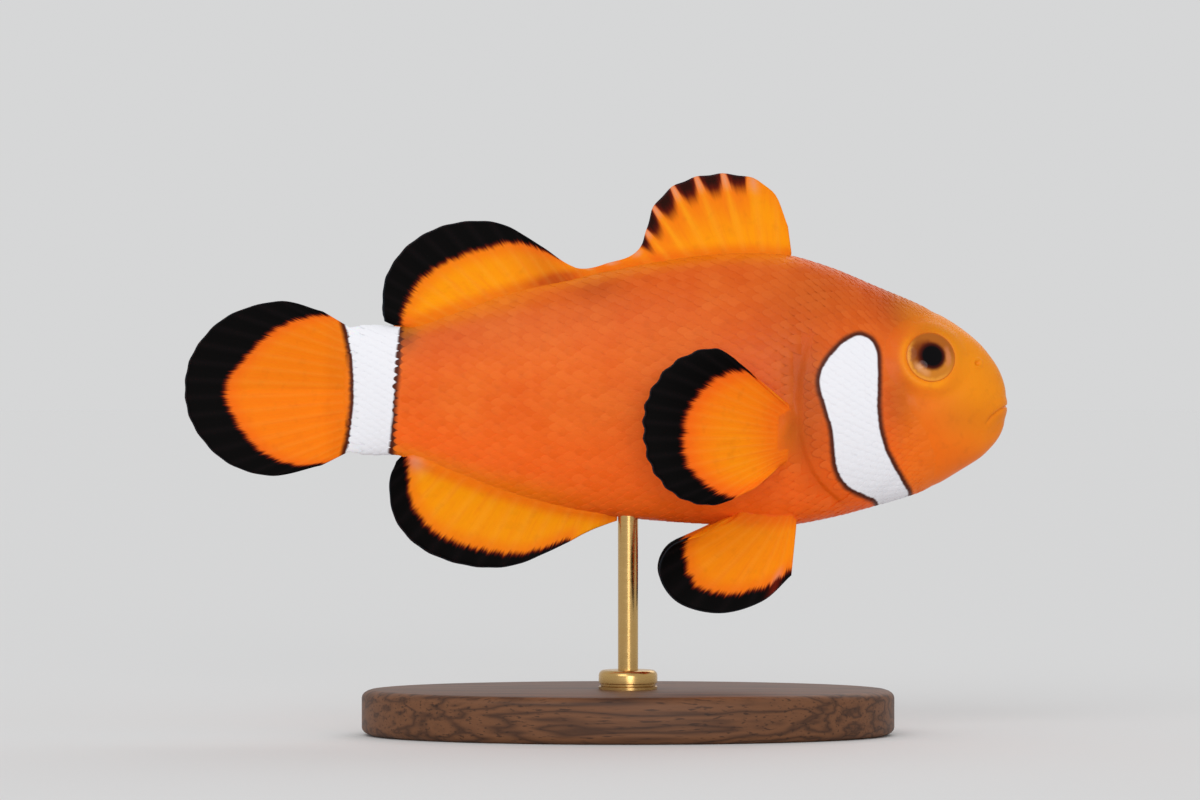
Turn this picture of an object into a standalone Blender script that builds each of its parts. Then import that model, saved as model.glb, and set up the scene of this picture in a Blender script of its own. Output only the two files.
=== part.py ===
"""A clownfish as a life-size museum model, swimming level above a plain oval display stand.

Metres, +Z up. The fish swims towards +X, and the origin is where the stand's base rests on its table,
under the middle of the fish. Measures of the body and fins are in hundredths of the standard length,
which runs from the snout to the tail-fin base: "behind" is how far behind the snout a point is,
and "height" how far above the body's axis.
"""

import math

import bmesh
import bpy
import numpy as np
from mathutils import Matrix, Vector

# Driving dimensions.
STANDARD_LENGTH = 0.0717
AXIS_Z = 0.0376
GAP = 0.0003

PERCENT = STANDARD_LENGTH / 100
SNOUT_TIP, TAIL_TIP = 0.6, 125.6
SNOUT_X = (SNOUT_TIP + TAIL_TIP) / 2 * PERCENT  # where "behind" is 0
GAP_PERCENT = GAP / PERCENT

# Body outline: behind, back, belly, half width, and how square the section is (2 is an ellipse).
BODY = (
    (SNOUT_TIP, -2.2, -2.2, 0.0, 2.0),
    (1.3, 1.9, -6.2, 2.1, 2.1),
    (3.5, 5.6, -9.3, 3.9, 2.1),
    (7.7, 9.4, -12.2, 5.7, 2.1),
    (13.5, 12.75, -15.4, 7.1, 2.1),
    (20.2, 15.6, -17.5, 8.1, 2.1),
    (27.7, 18.7, -19.5, 8.8, 2.1),
    (34.0, 20.5, -20.6, 9.0, 2.1),
    (44.0, 20.8, -20.5, 8.8, 2.1),
    (55.0, 19.4, -19.8, 8.0, 2.05),
    (66.0, 17.2, -18.5, 6.7, 2.0),
    (77.5, 14.6, -15.6, 5.1, 2.0),
    (85.0, 12.1, -12.9, 4.0, 2.0),
    (92.0, 10.0, -10.3, 3.0, 2.0),
    (100.0, 9.7, -9.7, 1.6, 2.1),
    (103.0, 9.0, -9.0, 0.45, 2.1),
)
BODY_END = 103.0
BODY_RINGS = 32
RING_POINTS = 28
RING_CROWDING = 1.6  # rings crowd towards the snout, where the body curves most

# The cut between head and trunk: down the nape, round the gill cover's rear margin, to the throat.
GILL_MARGIN = (
    (27.6, 13.5),
    (29.8, 9.6),
    (31.8, 4.4),
    (32.6, -1.8),
    (32.0, -8.2),
    (29.6, -13.6),
    (25.6, -17.4),
    (21.0, -20.6),
)
NAPE = (26.4, 26.0)
THROAT = (20.4, -26.0)
COVER_FRONT = ((19.6, -15.4), (16.6, -12.6), (15.5, -7.4), (16.0, -1.6), (17.6, 4.4), (20.6, 9.2), (25.4, 11.4))
COVER_REACH = (8.0, 45.0)
COVER_RINGS = 10
COVER_THICKNESS = 0.0012
COVER_PROUD = 0.00015
STALK_FRONT = 92.4

# Mouth: a short slit that slopes down and back from the front of the snout.
MOUTH_FRONT = (-2.0, -2.0)
MOUTH_CORNER = (4.6, -5.4)
JAW_JOINT = (8.6, -9.6)
CHIN = (9.6, -16.0)

# Eyes: flattened balls, set into the sides of the head and turned a little forwards and upwards.
EYE_PLACE = (12.6, 4.9)
EYE_RADIUS = 4.0
EYE_DEPTH_RADIUS = 2.7
EYE_FROM_MIDDLE = 4.3
EYE_FORWARDS = math.radians(14)
EYE_UPWARDS = math.radians(12)

# Fins: key rays as (root behind, root height, tip behind, tip height), from the leading edge back.
SPINY_DORSAL = (
    (33.0, 18.0, 33.9, 24.8),
    (35.2, 18.4, 35.8, 29.6),
    (37.5, 18.6, 39.2, 32.2),
    (39.9, 18.6, 43.8, 32.9),
    (42.4, 18.6, 47.9, 32.4),
    (45.0, 18.4, 51.5, 30.9),
    (47.6, 18.2, 54.4, 27.8),
    (50.3, 17.8, 55.5, 24.1),
    (53.2, 17.4, 57.0, 20.9),
    (57.0, 16.8, 61.0, 19.3),
    (62.4, 15.8, 65.8, 18.2),
)
SOFT_DORSAL = (
    (63.6, 16.0, 66.6, 18.2),
    (66.6, 15.6, 71.5, 21.9),
    (70.6, 14.8, 78.0, 25.4),
    (75.0, 13.4, 85.4, 25.2),
    (79.6, 12.0, 91.4, 22.2),
    (84.0, 10.6, 94.9, 17.4),
    (87.8, 9.4, 95.5, 12.6),
    (90.8, 8.4, 95.2, 10.4),
)
ANAL = (
    (59.6, -17.6, 59.9, -19.9),
    (62.6, -17.2, 64.0, -21.4),
    (65.8, -16.6, 69.0, -24.0),
    (70.0, -15.4, 76.0, -26.8),
    (75.0, -13.8, 83.0, -26.7),
    (80.0, -12.2, 89.6, -24.2),
    (84.6, -10.6, 93.6, -19.8),
    (88.4, -9.4, 94.5, -14.4),
    (91.0, -8.4, 93.4, -10.9),
)
TAIL = (
    (99.0, 8.6, 104.6, 11.9),
    (99.0, 7.0, 111.2, 13.5),
    (99.0, 4.8, 119.2, 11.2),
    (99.0, 2.4, 124.2, 6.0),
    (99.0, 0.0, 125.6, 0.2),
    (99.0, -2.4, 124.2, -5.6),
    (99.0, -4.8, 119.4, -10.9),
    (99.0, -7.0, 112.4, -13.1),
    (99.0, -8.6, 104.8, -11.5),
)
PECTORAL = (
    (33.0, -3.4, 40.0, 2.4),
    (33.0, -3.9, 45.2, 6.2),
    (33.1, -4.9, 51.5, 4.2),
    (33.3, -5.9, 55.4, -0.8),
    (33.5, -7.0, 56.2, -6.0),
    (33.8, -8.1, 55.0, -11.6),
    (34.1, -9.2, 51.2, -15.9),
    (34.5, -10.2, 45.6, -17.3),
    (34.9, -11.0, 39.4, -14.9),
)
PELVIC = (
    (32.6, -19.2, 33.6, -28.0),
    (33.4, -19.2, 38.0, -31.9),
    (34.6, -19.0, 44.4, -33.7),
    (36.2, -18.8, 50.7, -32.1),
    (38.0, -18.6, 53.6, -27.8),
    (39.8, -18.6, 52.0, -23.7),
    (41.4, -18.4, 47.0, -21.9),
)
RAY_HALF = 0.00042
WEB_HALF = 0.00027
PECTORAL_ROOT_DEPTH = 1.1  # how far inside the flank the pectoral rays start
PECTORAL_SPREAD = 9.6  # how far the middle rays' tips stand out from their roots
PELVIC_ROOT_FROM_MIDDLE = 2.2
PELVIC_SPREAD = 6.6

# Stand: an oval base, a collar, and a rod that ends in a blind hole in the belly.
BASE_LENGTH = 0.058
BASE_WIDTH = 0.036
BASE_HEIGHT = 0.005
BASE_BEVEL = 0.0008
ROD_BEHIND = 58.2
ROD_X = SNOUT_X - ROD_BEHIND * PERCENT
ROD_RADIUS = 0.0011
ROD_SOCKET_DEPTH = 0.003
ROD_IN_BELLY = 0.005
COLLAR_RADIUS = 0.0032
COLLAR_HEIGHT = 0.0018


# ---------------------------------------------------------------- small tools


def collection(name, shown=True):
    made = bpy.data.collections.new(name)
    made.hide_render = not shown
    bpy.context.scene.collection.children.link(made)
    return made


def material(name, colour, roughness=0.45, metallic=0.0):
    made = bpy.data.materials.new(name)
    made.use_nodes = True
    shader = made.node_tree.nodes["Principled BSDF"]
    shader.inputs["Base Color"].default_value = (*colour, 1.0)
    shader.inputs["Roughness"].default_value = roughness
    shader.inputs["Metallic"].default_value = metallic
    made.diffuse_color = (*colour, 1.0)
    return made


def smooth(stations, column, at):
    """The cubic through one column of a table against its first column, at the given places."""
    xs = np.array([row[0] for row in stations], float)
    ys = np.array([row[column] for row in stations], float)
    slopes = np.gradient(ys, xs)
    at = np.clip(np.asarray(at, float), xs[0], xs[-1])
    i = np.clip(np.searchsorted(xs, at, side="right") - 1, 0, len(xs) - 2)
    step = xs[i + 1] - xs[i]
    t = (at - xs[i]) / step
    return (
        (2 * t**3 - 3 * t**2 + 1) * ys[i]
        + (t**3 - 2 * t**2 + t) * step * slopes[i]
        + (3 * t**2 - 2 * t**3) * ys[i + 1]
        + (t**3 - t**2) * step * slopes[i + 1]
    )


def place(behind, height, across=0.0):
    """A point of the fish, in metres, from its measures in hundredths of the standard length."""
    return Vector((SNOUT_X - behind * PERCENT, across * PERCENT, AXIS_Z + height * PERCENT))


def link(name, mesh, shade=None, group=None):
    made = bpy.data.objects.new(name, mesh)
    (group or parts).objects.link(made)
    if shade:
        mesh.materials.clear()
        mesh.materials.append(shade)
    if group is cutters:
        made.hide_render = True
        made.display_type = "WIRE"
    return made


def as_mesh(shape):
    """The shape as a plain mesh with its caps welded; the curve that it came from is removed."""
    bpy.context.view_layer.update()
    graph = bpy.context.evaluated_depsgraph_get()
    mesh = bpy.data.meshes.new_from_object(shape.evaluated_get(graph))
    mesh.transform(shape.matrix_world)
    bpy.data.objects.remove(shape)
    cage = bmesh.new()
    cage.from_mesh(mesh)
    bmesh.ops.remove_doubles(cage, verts=cage.verts, dist=1e-6)
    bmesh.ops.recalc_face_normals(cage, faces=cage.faces)
    cage.to_mesh(mesh)
    cage.free()
    return mesh


def plate(name, outline, near, far):
    """A flat outline in the side view, as a cutter that reaches across from near to far."""
    curve = bpy.data.curves.new(name, "CURVE")
    curve.dimensions = "2D"
    curve.fill_mode = "BOTH"
    curve.extrude = (far - near) / 2
    spline = curve.splines.new("POLY")
    spline.points.add(len(outline) - 1)
    for point, (behind, height) in zip(spline.points, outline, strict=True):
        at = place(behind, height)
        point.co = (at.x, at.z, 0.0, 1.0)
    spline.use_cyclic_u = True
    shape = bpy.data.objects.new(name, curve)
    bpy.context.scene.collection.objects.link(shape)
    shape.rotation_euler.x = math.pi / 2
    shape.location.y = (near + far) / 2
    return link(name, as_mesh(shape), group=cutters)


def boolean(shape, other, operation):
    step = shape.modifiers.new(f"{operation.lower()}_{other.name}", "BOOLEAN")
    step.operation = operation
    step.object = other
    step.solver = "MANIFOLD"
    return shape


def shade_smooth(shape, angle=40):
    shape.data.shade_smooth()
    shape.data.set_sharp_from_angle(angle=math.radians(angle))


def mirrored(mesh):
    """A copy of a mesh for the other side of the fish."""
    copy = mesh.copy()
    copy.transform(Matrix.Scale(-1, 4, (0, 1, 0)))
    copy.flip_normals()
    return copy


# ---------------------------------------------------------------- body


ROUNDED_BODY = [(math.sqrt(row[0] - SNOUT_TIP), *row[1:]) for row in BODY]


def section(behind):
    """(back, belly, half width, squareness) of the body. Their run against the square root of the
    distance is nearly straight at the front, which is what rounds the snout."""
    along = math.sqrt(max(behind - SNOUT_TIP, 0.0))
    return tuple(float(smooth(ROUNDED_BODY, column, along)) for column in (1, 2, 3, 4))


def flank(behind, height):
    """How far from the middle the body's side is at a point of the side view."""
    back, belly, half, square = section(behind)
    up = abs(height - (back + belly) / 2) / ((back - belly) / 2)
    return half * max(0.0, 1 - up**square) ** (1 / square)


def body_mesh(name, grow=0.0, reach=(SNOUT_TIP, BODY_END), count=BODY_RINGS):
    """The body as a loft of rounded sections, grown by a distance in hundredths."""
    cage = bmesh.new()
    rings = []
    start, end = reach
    for step in range(1, count + 1):
        behind = start + (end - start) * (step / count) ** RING_CROWDING
        back, belly, half, square = section(behind)
        middle, tall = (back + belly) / 2, (back - belly) / 2 + grow
        ring = []
        for k in range(RING_POINTS):
            turn = 2 * math.pi * k / RING_POINTS
            c, s = math.cos(turn), math.sin(turn)
            across = math.copysign(abs(c) ** (2 / square), c) * (half + grow)
            up = math.copysign(abs(s) ** (2 / square), s) * tall
            ring.append(cage.verts.new(place(behind + grow * (behind >= end), middle + up, across)))
        rings.append(ring)
    tip_back, tip_belly, _, _ = section(start)
    tip = cage.verts.new(place(start - grow, (tip_back + tip_belly) / 2))
    for near, far in zip(rings, rings[1:], strict=False):
        for k in range(RING_POINTS):
            n = (k + 1) % RING_POINTS
            cage.faces.new((near[k], near[n], far[n], far[k]))
    for k in range(RING_POINTS):
        cage.faces.new((tip, rings[0][(k + 1) % RING_POINTS], rings[0][k]))
    cage.faces.new(rings[-1])
    bmesh.ops.recalc_face_normals(cage, faces=cage.faces)
    mesh = bpy.data.meshes.new(name)
    cage.to_mesh(mesh)
    cage.free()
    return mesh


def smooth_line(points, steps=4):
    """A line through the points, rounded by the same cubic as the body."""
    turns = [(i, *point) for i, point in enumerate(points)]
    at = np.linspace(0, len(points) - 1, steps * (len(points) - 1) + 1)
    return list(zip(smooth(turns, 1, at), smooth(turns, 2, at), strict=True))


def behind_by(line, distance):
    return [(behind + distance, height) for behind, height in line]


FAR = 40.0
WIDE = 0.02


def head_edge():
    return [(NAPE[0], FAR), NAPE, *smooth_line(GILL_MARGIN), THROAT, (THROAT[0], -FAR)]


def grown(outline, distance):
    """A closed outline with each corner moved outwards, so that every side moves by the distance."""
    points = [Vector(point) for point in outline]
    area = sum(a.x * b.y - b.x * a.y for a, b in zip(points, points[1:] + points[:1], strict=True))
    turned = []
    for before, at, after in zip(points[-1:] + points[:-1], points, points[1:] + points[:1], strict=True):
        a, b = (at - before).normalized(), (after - at).normalized()
        normal_a, normal_b = Vector((a.y, -a.x)), Vector((b.y, -b.x))
        corner = (normal_a + normal_b) / (1 + normal_a.dot(normal_b))
        turned.append(tuple(at + corner * math.copysign(distance, area)))
    return turned


def cover_outline():
    """The gill cover's outline: a curved front edge, then the gill margin from the top down."""
    front = smooth_line(COVER_FRONT, 3)
    low, high = COVER_FRONT[0][1], COVER_FRONT[-1][1]
    margin = [point for point in smooth_line(GILL_MARGIN) if low < point[1] < high - 0.8]
    return [*front, *margin]


def jaw_outline():
    return [MOUTH_FRONT, MOUTH_CORNER, JAW_JOINT, CHIN, (CHIN[0], -FAR), (MOUTH_FRONT[0], -FAR)]


def head(skin):
    shape = link("head", body_mesh("head"), skin)
    edge = head_edge()
    boolean(shape, plate("head_block", [*edge, (-FAR, -FAR), (-FAR, FAR)], -WIDE, WIDE), "INTERSECT")
    boolean(shape, plate("jaw_room", grown(jaw_outline(), GAP_PERCENT), -WIDE, WIDE), "DIFFERENCE")
    recess = plate("cover_room", grown(cover_outline(), GAP_PERCENT), -WIDE, WIDE)
    floor = (COVER_THICKNESS + GAP) / PERCENT
    inner = link("head_under_covers", body_mesh("head_under_covers", -floor, COVER_REACH, COVER_RINGS), group=cutters)
    boolean(recess, inner, "DIFFERENCE")
    boolean(shape, recess, "DIFFERENCE")
    for side in (1, -1):
        boolean(shape, eye_ball(f"socket_{side_name(side)}", side, GAP_PERCENT, cutters), "DIFFERENCE")
    shade_smooth(shape)


def lower_jaw(skin):
    shape = link("lower_jaw", body_mesh("lower_jaw"), skin)
    boolean(shape, plate("jaw_block", jaw_outline(), -WIDE, WIDE), "INTERSECT")
    shade_smooth(shape)


def gill_cover(side, skin):
    """A thin curved plate over the gills, a hair proud of the head."""
    name = f"gill_cover_{side_name(side)}"
    proud = COVER_PROUD / PERCENT
    shape = link(name, body_mesh(name, proud, COVER_REACH, COVER_RINGS), skin)
    near, far = sorted((side * 0.0005, side * WIDE))
    boolean(shape, plate(f"{name}_block", cover_outline(), near, far), "INTERSECT")
    inside = body_mesh(f"{name}_inside", -COVER_THICKNESS / PERCENT, COVER_REACH, COVER_RINGS)
    boolean(shape, link(f"{name}_inside", inside, group=cutters), "DIFFERENCE")
    shade_smooth(shape)


def trunk(skin):
    shape = link("trunk", body_mesh("trunk"), skin)
    front = behind_by(head_edge(), GAP_PERCENT)
    block = plate("trunk_block", [*front, (STALK_FRONT, -FAR), (STALK_FRONT, FAR)], -WIDE, WIDE)
    boolean(shape, block, "INTERSECT")
    boolean(shape, round_bar("belly_hole", ROD_RADIUS + GAP, 0.0, rod_top() + GAP, cutters), "DIFFERENCE")
    shade_smooth(shape)


def tail_stalk(skin):
    shape = link("tail_stalk", body_mesh("tail_stalk"), skin)
    edge = STALK_FRONT + GAP_PERCENT
    outline = [(edge, -FAR), (edge, FAR), (110.0, FAR), (110.0, -FAR)]
    boolean(shape, plate("stalk_block", outline, -WIDE, WIDE), "INTERSECT")
    shade_smooth(shape)


# ---------------------------------------------------------------- eyes


def side_name(side):
    return "left" if side > 0 else "right"


def eye_ball(name, side, grow=0.0, group=None):
    bpy.ops.mesh.primitive_uv_sphere_add(segments=16, ring_count=8, radius=1.0)
    shape = bpy.context.object
    mesh = shape.data
    bpy.data.objects.remove(shape)
    wide, deep = (EYE_RADIUS + grow) * PERCENT, (EYE_DEPTH_RADIUS + grow) * PERCENT
    mesh.transform(Matrix.Diagonal((wide, wide, deep, 1.0)))
    # The ball's short axis points outwards, then forwards and upwards.
    outwards = Matrix.Rotation(-math.pi / 2, 4, "X")
    forwards = Matrix.Rotation(-EYE_FORWARDS, 4, "Z")
    upwards = Matrix.Rotation(EYE_UPWARDS, 4, "X")
    centre = Matrix.Translation(place(*EYE_PLACE, EYE_FROM_MIDDLE))
    mesh.transform(centre @ forwards @ upwards @ outwards)
    if side < 0:
        mesh = mirrored(mesh)
    return link(name, mesh, group=group)


def eye(side, shade):
    shape = eye_ball(f"eye_{side_name(side)}", side)
    shape.data.materials.append(shade)
    shade_smooth(shape)


# ---------------------------------------------------------------- fins


def no_offset(ray, out):
    return 0.0


def wave(size, turns):
    """A gentle sideways wave that grows towards a fin's edge."""
    return lambda ray, out: size * math.sin(2 * math.pi * turns * ray) * out**2


def fin_mesh(name, key_rays, ray_count, across=no_offset, notch=0.0, rows=4):
    """A thin blade with a ridge along each ray. Its middle surface runs from the rays' roots (out 0)
    to their tips (out 1); across says how far it is from the fish's middle, and notch how much
    shorter the web is between two rays' tips."""
    turns = [(i / (len(key_rays) - 1), *ray) for i, ray in enumerate(key_rays)]
    columns = 2 * ray_count - 1
    middle = np.zeros((columns, rows + 1, 3))
    half = np.zeros((columns, rows + 1))
    for c in range(columns):
        ray = c / (columns - 1)
        root_b, root_h, tip_b, tip_h = (float(smooth(turns, k, ray)) for k in (1, 2, 3, 4))
        on_web = c % 2
        for r in range(rows + 1):
            out = r / rows * (1 - notch * on_web)
            behind, height = root_b + (tip_b - root_b) * out, root_h + (tip_h - root_h) * out
            middle[c, r] = place(behind, height, across(ray, out))
            half[c, r] = WEB_HALF if on_web else RAY_HALF + (WEB_HALF - RAY_HALF) * out**2
    along, outward = np.gradient(middle, axis=0), np.gradient(middle, axis=1)
    normal = np.cross(along, outward)
    normal /= np.linalg.norm(normal, axis=2, keepdims=True)
    cage = bmesh.new()
    sides = [
        [[cage.verts.new(Vector(p)) for p in column] for column in middle + sign * normal * half[..., None]]
        for sign in (1, -1)
    ]
    top, under = sides
    for c in range(columns - 1):
        for r in range(rows):
            for s in sides:
                cage.faces.new((s[c][r], s[c + 1][r], s[c + 1][r + 1], s[c][r + 1]))
        for r in (0, rows):
            cage.faces.new((top[c][r], top[c + 1][r], under[c + 1][r], under[c][r]))
    for c in (0, columns - 1):
        for r in range(rows):
            cage.faces.new((top[c][r], top[c][r + 1], under[c][r + 1], under[c][r]))
    bmesh.ops.recalc_face_normals(cage, faces=cage.faces)
    mesh = bpy.data.meshes.new(name)
    cage.to_mesh(mesh)
    cage.free()
    return mesh


def add_fin(name, mesh, shade, clear_of):
    shape = link(name, mesh, shade)
    boolean(shape, clear_of, "DIFFERENCE")
    shade_smooth(shape, 25)
    return shape


def middle_fins(shade, clear_of):
    spiny = fin_mesh("dorsal_fin_front", SPINY_DORSAL, 11, notch=0.02)
    soft = fin_mesh("dorsal_fin_rear", SOFT_DORSAL, 15, wave(0.7, 0.9))
    anal = fin_mesh("anal_fin", ANAL, 14, wave(-0.6, 0.9))
    tail = fin_mesh("tail_fin", TAIL, 15, wave(0.9, 1.0))
    for mesh in (spiny, soft, anal, tail):
        add_fin(mesh.name, mesh, shade, clear_of)


def pectoral_across(ray, out):
    """The pectoral fin leaves the flank steeply and then sweeps back, cupped along its edges."""
    root = flank(34.0, -7.2) - PECTORAL_ROOT_DEPTH
    cup = 1 - 0.35 * (2 * ray - 1) ** 2
    return root + PECTORAL_SPREAD * cup * (1 - (1 - out) ** 1.7)


def pelvic_across(ray, out):
    return PELVIC_ROOT_FROM_MIDDLE + PELVIC_SPREAD * (0.6 + 0.4 * ray) * out**0.9


def paired_fins(shade, clear_of):
    pectoral = fin_mesh("pectoral_fin_left", PECTORAL, 17, pectoral_across)
    pelvic = fin_mesh("pelvic_fin_left", PELVIC, 8, pelvic_across)
    for mesh in (pectoral, pelvic):
        kind = mesh.name.removesuffix("_left")
        add_fin(f"{kind}_left", mesh, shade, clear_of)
        add_fin(f"{kind}_right", mirrored(mesh), shade, clear_of)


# ---------------------------------------------------------------- stand


def rod_top():
    _, belly, _, _ = section(ROD_BEHIND)
    return AXIS_Z + belly * PERCENT + ROD_IN_BELLY


def round_bar(name, radius, low, high, group=None):
    bpy.ops.mesh.primitive_cylinder_add(vertices=20, radius=radius, depth=high - low)
    shape = bpy.context.object
    mesh = shape.data
    bpy.data.objects.remove(shape)
    mesh.transform(Matrix.Translation((ROD_X, 0.0, (low + high) / 2)))
    return link(name, mesh, group=group)


def stand_base(shade):
    bpy.ops.mesh.primitive_cylinder_add(vertices=40, radius=1.0, depth=BASE_HEIGHT)
    shape = bpy.context.object
    mesh = shape.data
    bpy.data.objects.remove(shape)
    oval = Matrix.Diagonal((BASE_LENGTH / 2, BASE_WIDTH / 2, 1.0, 1.0))
    mesh.transform(Matrix.Translation((ROD_X, 0, BASE_HEIGHT / 2)) @ oval)
    shape = link("stand_base", mesh, shade)
    edge = shape.modifiers.new("rounded_edges", "BEVEL")
    edge.width = BASE_BEVEL
    edge.segments = 2
    edge.angle_limit = math.radians(50)
    low = BASE_HEIGHT - ROD_SOCKET_DEPTH - GAP
    boolean(shape, round_bar("base_hole", ROD_RADIUS + GAP, low, BASE_HEIGHT + 0.002, cutters), "DIFFERENCE")
    shade_smooth(shape)


def stand_collar(shade):
    """A turned ring round the foot of the rod, with a rounded top edge."""
    inner, outer = ROD_RADIUS + GAP, COLLAR_RADIUS
    low = BASE_HEIGHT + GAP
    high = low + COLLAR_HEIGHT
    bend = 0.0006
    arc = [(outer - bend + bend * math.cos(a), high - bend + bend * math.sin(a))
           for a in np.linspace(math.pi / 2, 0, 3)]
    profile = [(inner, high), *arc, (outer, low), (inner, low)]
    mesh = bpy.data.meshes.new("stand_collar")
    count = len(profile)
    edges = [(i, (i + 1) % count) for i in range(count)]
    mesh.from_pydata([(r, 0.0, z) for r, z in profile], edges, [])
    shape = link("stand_collar", mesh, shade)
    shape.location.x = ROD_X
    turn = shape.modifiers.new("turned", "SCREW")
    turn.steps = turn.render_steps = 20
    turn.use_merge_vertices = True
    turn.merge_threshold = 1e-6
    turn.use_smooth_shade = True


def stand(wood, brass):
    stand_base(wood)
    stand_collar(brass)
    rod = round_bar("stand_rod", ROD_RADIUS, BASE_HEIGHT - ROD_SOCKET_DEPTH, rod_top())
    rod.data.materials.append(brass)
    shade_smooth(rod)


# ---------------------------------------------------------------- the whole model


def fish():
    orange = material("orange_skin", (0.80, 0.14, 0.016), 0.4)
    white = material("white_skin", (0.84, 0.82, 0.86), 0.4)
    amber = material("amber_fin", (0.91, 0.30, 0.012), 0.4)
    eye_shade = material("eye", (0.01, 0.008, 0.01), 0.1)
    head(orange)
    lower_jaw(orange)
    trunk(orange)
    tail_stalk(white)
    for side in (1, -1):
        gill_cover(side, white)
        eye(side, eye_shade)
    clear_of = link("body_with_clearance", body_mesh("body_with_clearance", GAP_PERCENT), group=cutters)
    middle_fins(amber, clear_of)
    paired_fins(amber, clear_of)


for old in list(bpy.data.objects):
    bpy.data.objects.remove(old)
parts = collection("clownfish")
cutters = collection("cutters", shown=False)
fish()
stand(material("walnut", (0.06, 0.028, 0.014), 0.4), material("brass", (0.75, 0.53, 0.22), 0.25, 1.0))
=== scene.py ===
"""The looks of a life-size clownfish model: one skin with its fins, overlapping mesh scales, eyes, markings,
the display stand's finishes, a pale floor and soft studio light.

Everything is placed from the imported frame. As in part.py, measures of the body and fins are in hundredths
of the standard length (snout tip to tail-fin base): "behind" is how far behind the snout tip a point is,
"height" how far above the body's axis, and "across" how far to the fish's left. Reliefs are in millimetres.
"""

import math
from functools import partialmethod

import bmesh
import bpy
import numpy as np
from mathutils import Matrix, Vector


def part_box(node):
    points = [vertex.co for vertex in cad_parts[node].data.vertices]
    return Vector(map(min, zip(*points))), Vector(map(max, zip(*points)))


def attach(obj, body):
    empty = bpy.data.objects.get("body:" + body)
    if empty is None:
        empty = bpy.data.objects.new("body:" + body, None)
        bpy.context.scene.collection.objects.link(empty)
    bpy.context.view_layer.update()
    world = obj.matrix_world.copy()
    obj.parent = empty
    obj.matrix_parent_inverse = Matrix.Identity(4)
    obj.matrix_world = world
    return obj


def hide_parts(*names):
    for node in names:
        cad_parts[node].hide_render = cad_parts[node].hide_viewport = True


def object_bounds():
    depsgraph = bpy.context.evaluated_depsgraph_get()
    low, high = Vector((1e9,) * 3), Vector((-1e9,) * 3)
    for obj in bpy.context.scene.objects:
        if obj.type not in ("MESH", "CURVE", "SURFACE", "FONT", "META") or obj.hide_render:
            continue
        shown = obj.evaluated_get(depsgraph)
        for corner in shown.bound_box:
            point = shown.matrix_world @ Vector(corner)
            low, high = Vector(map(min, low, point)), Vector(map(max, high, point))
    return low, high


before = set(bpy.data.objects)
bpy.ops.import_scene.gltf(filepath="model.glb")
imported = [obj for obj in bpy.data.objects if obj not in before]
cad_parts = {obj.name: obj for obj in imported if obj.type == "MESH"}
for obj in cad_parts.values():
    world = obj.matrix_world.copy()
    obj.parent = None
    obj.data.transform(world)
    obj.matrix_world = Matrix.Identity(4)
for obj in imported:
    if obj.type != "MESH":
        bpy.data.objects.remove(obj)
cad_low, cad_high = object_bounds()

# ---- Measures, as in part.py

# Places behind the snout tip, with the back, the belly, half the width and the squareness of the section.
BODY = (
    (0.6, -2.2, -2.2, 0.0, 2.0),
    (1.3, 1.9, -6.2, 2.1, 2.1),
    (3.5, 5.6, -9.3, 3.9, 2.1),
    (7.7, 9.4, -12.2, 5.7, 2.1),
    (13.5, 12.75, -15.4, 7.1, 2.1),
    (20.2, 15.6, -17.5, 8.1, 2.1),
    (27.7, 18.7, -19.5, 8.8, 2.1),
    (34.0, 20.5, -20.6, 9.0, 2.1),
    (44.0, 20.8, -20.5, 8.8, 2.1),
    (55.0, 19.4, -19.8, 8.0, 2.05),
    (66.0, 17.2, -18.5, 6.7, 2.0),
    (77.5, 14.6, -15.6, 5.1, 2.0),
    (85.0, 12.1, -12.9, 4.0, 2.0),
    (92.0, 10.0, -10.3, 3.0, 2.0),
    (100.0, 9.7, -9.7, 1.6, 2.1),
    (103.0, 9.0, -9.0, 0.45, 2.1),
)
BODY_END = 103.0
SNOUT_TIP, TAIL_TIP = 0.6, 125.6
EYE_PLACE = (12.6, 4.9)
GILL_MARGIN = (
    (28.4, 11.6), (29.8, 9.6), (31.8, 4.4), (32.6, -1.8), (32.0, -8.2), (29.6, -13.6), (25.6, -17.4),
    (21.0, -20.6),
)
COVER_FRONT = (
    (19.6, -15.4), (16.6, -12.6), (15.5, -7.4), (16.0, -1.6), (17.6, 4.4), (20.6, 9.2), (25.4, 11.4),
)

# Fins: key rays, each with its root's and its tip's place (behind, height, behind, height), and the width of
# the black margin along it, where less than nothing means none.
SPINY_DORSAL = (
    (33.0, 18.0, 33.9, 24.8, 0.0),
    (35.2, 18.4, 35.8, 29.6, 0.0),
    (37.5, 18.6, 39.2, 32.2, 0.0),
    (39.9, 18.6, 43.8, 32.9, 1.3),
    (42.4, 18.6, 47.9, 32.4, 1.6),
    (45.0, 18.4, 51.5, 30.9, 1.7),
    (47.6, 18.2, 54.4, 27.8, 1.5),
    (50.3, 17.8, 55.5, 24.1, 0.7),
    (53.2, 17.4, 57.0, 20.9, 0.0),
    (57.0, 16.8, 61.0, 19.3, 0.0),
)
SOFT_DORSAL = (
    (63.0, 16.0, 66.2, 18.2, 0.0),
    (66.6, 15.6, 71.5, 21.9, 0.7),
    (70.6, 14.8, 78.0, 25.4, 3.2),
    (75.0, 13.4, 85.4, 25.2, 5.1),
    (79.6, 12.0, 91.4, 22.2, 4.9),
    (84.0, 10.6, 94.9, 17.4, 4.1),
    (87.8, 9.4, 95.5, 12.6, 2.7),
    (90.8, 8.4, 95.2, 10.4, 2.4),
)
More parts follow.
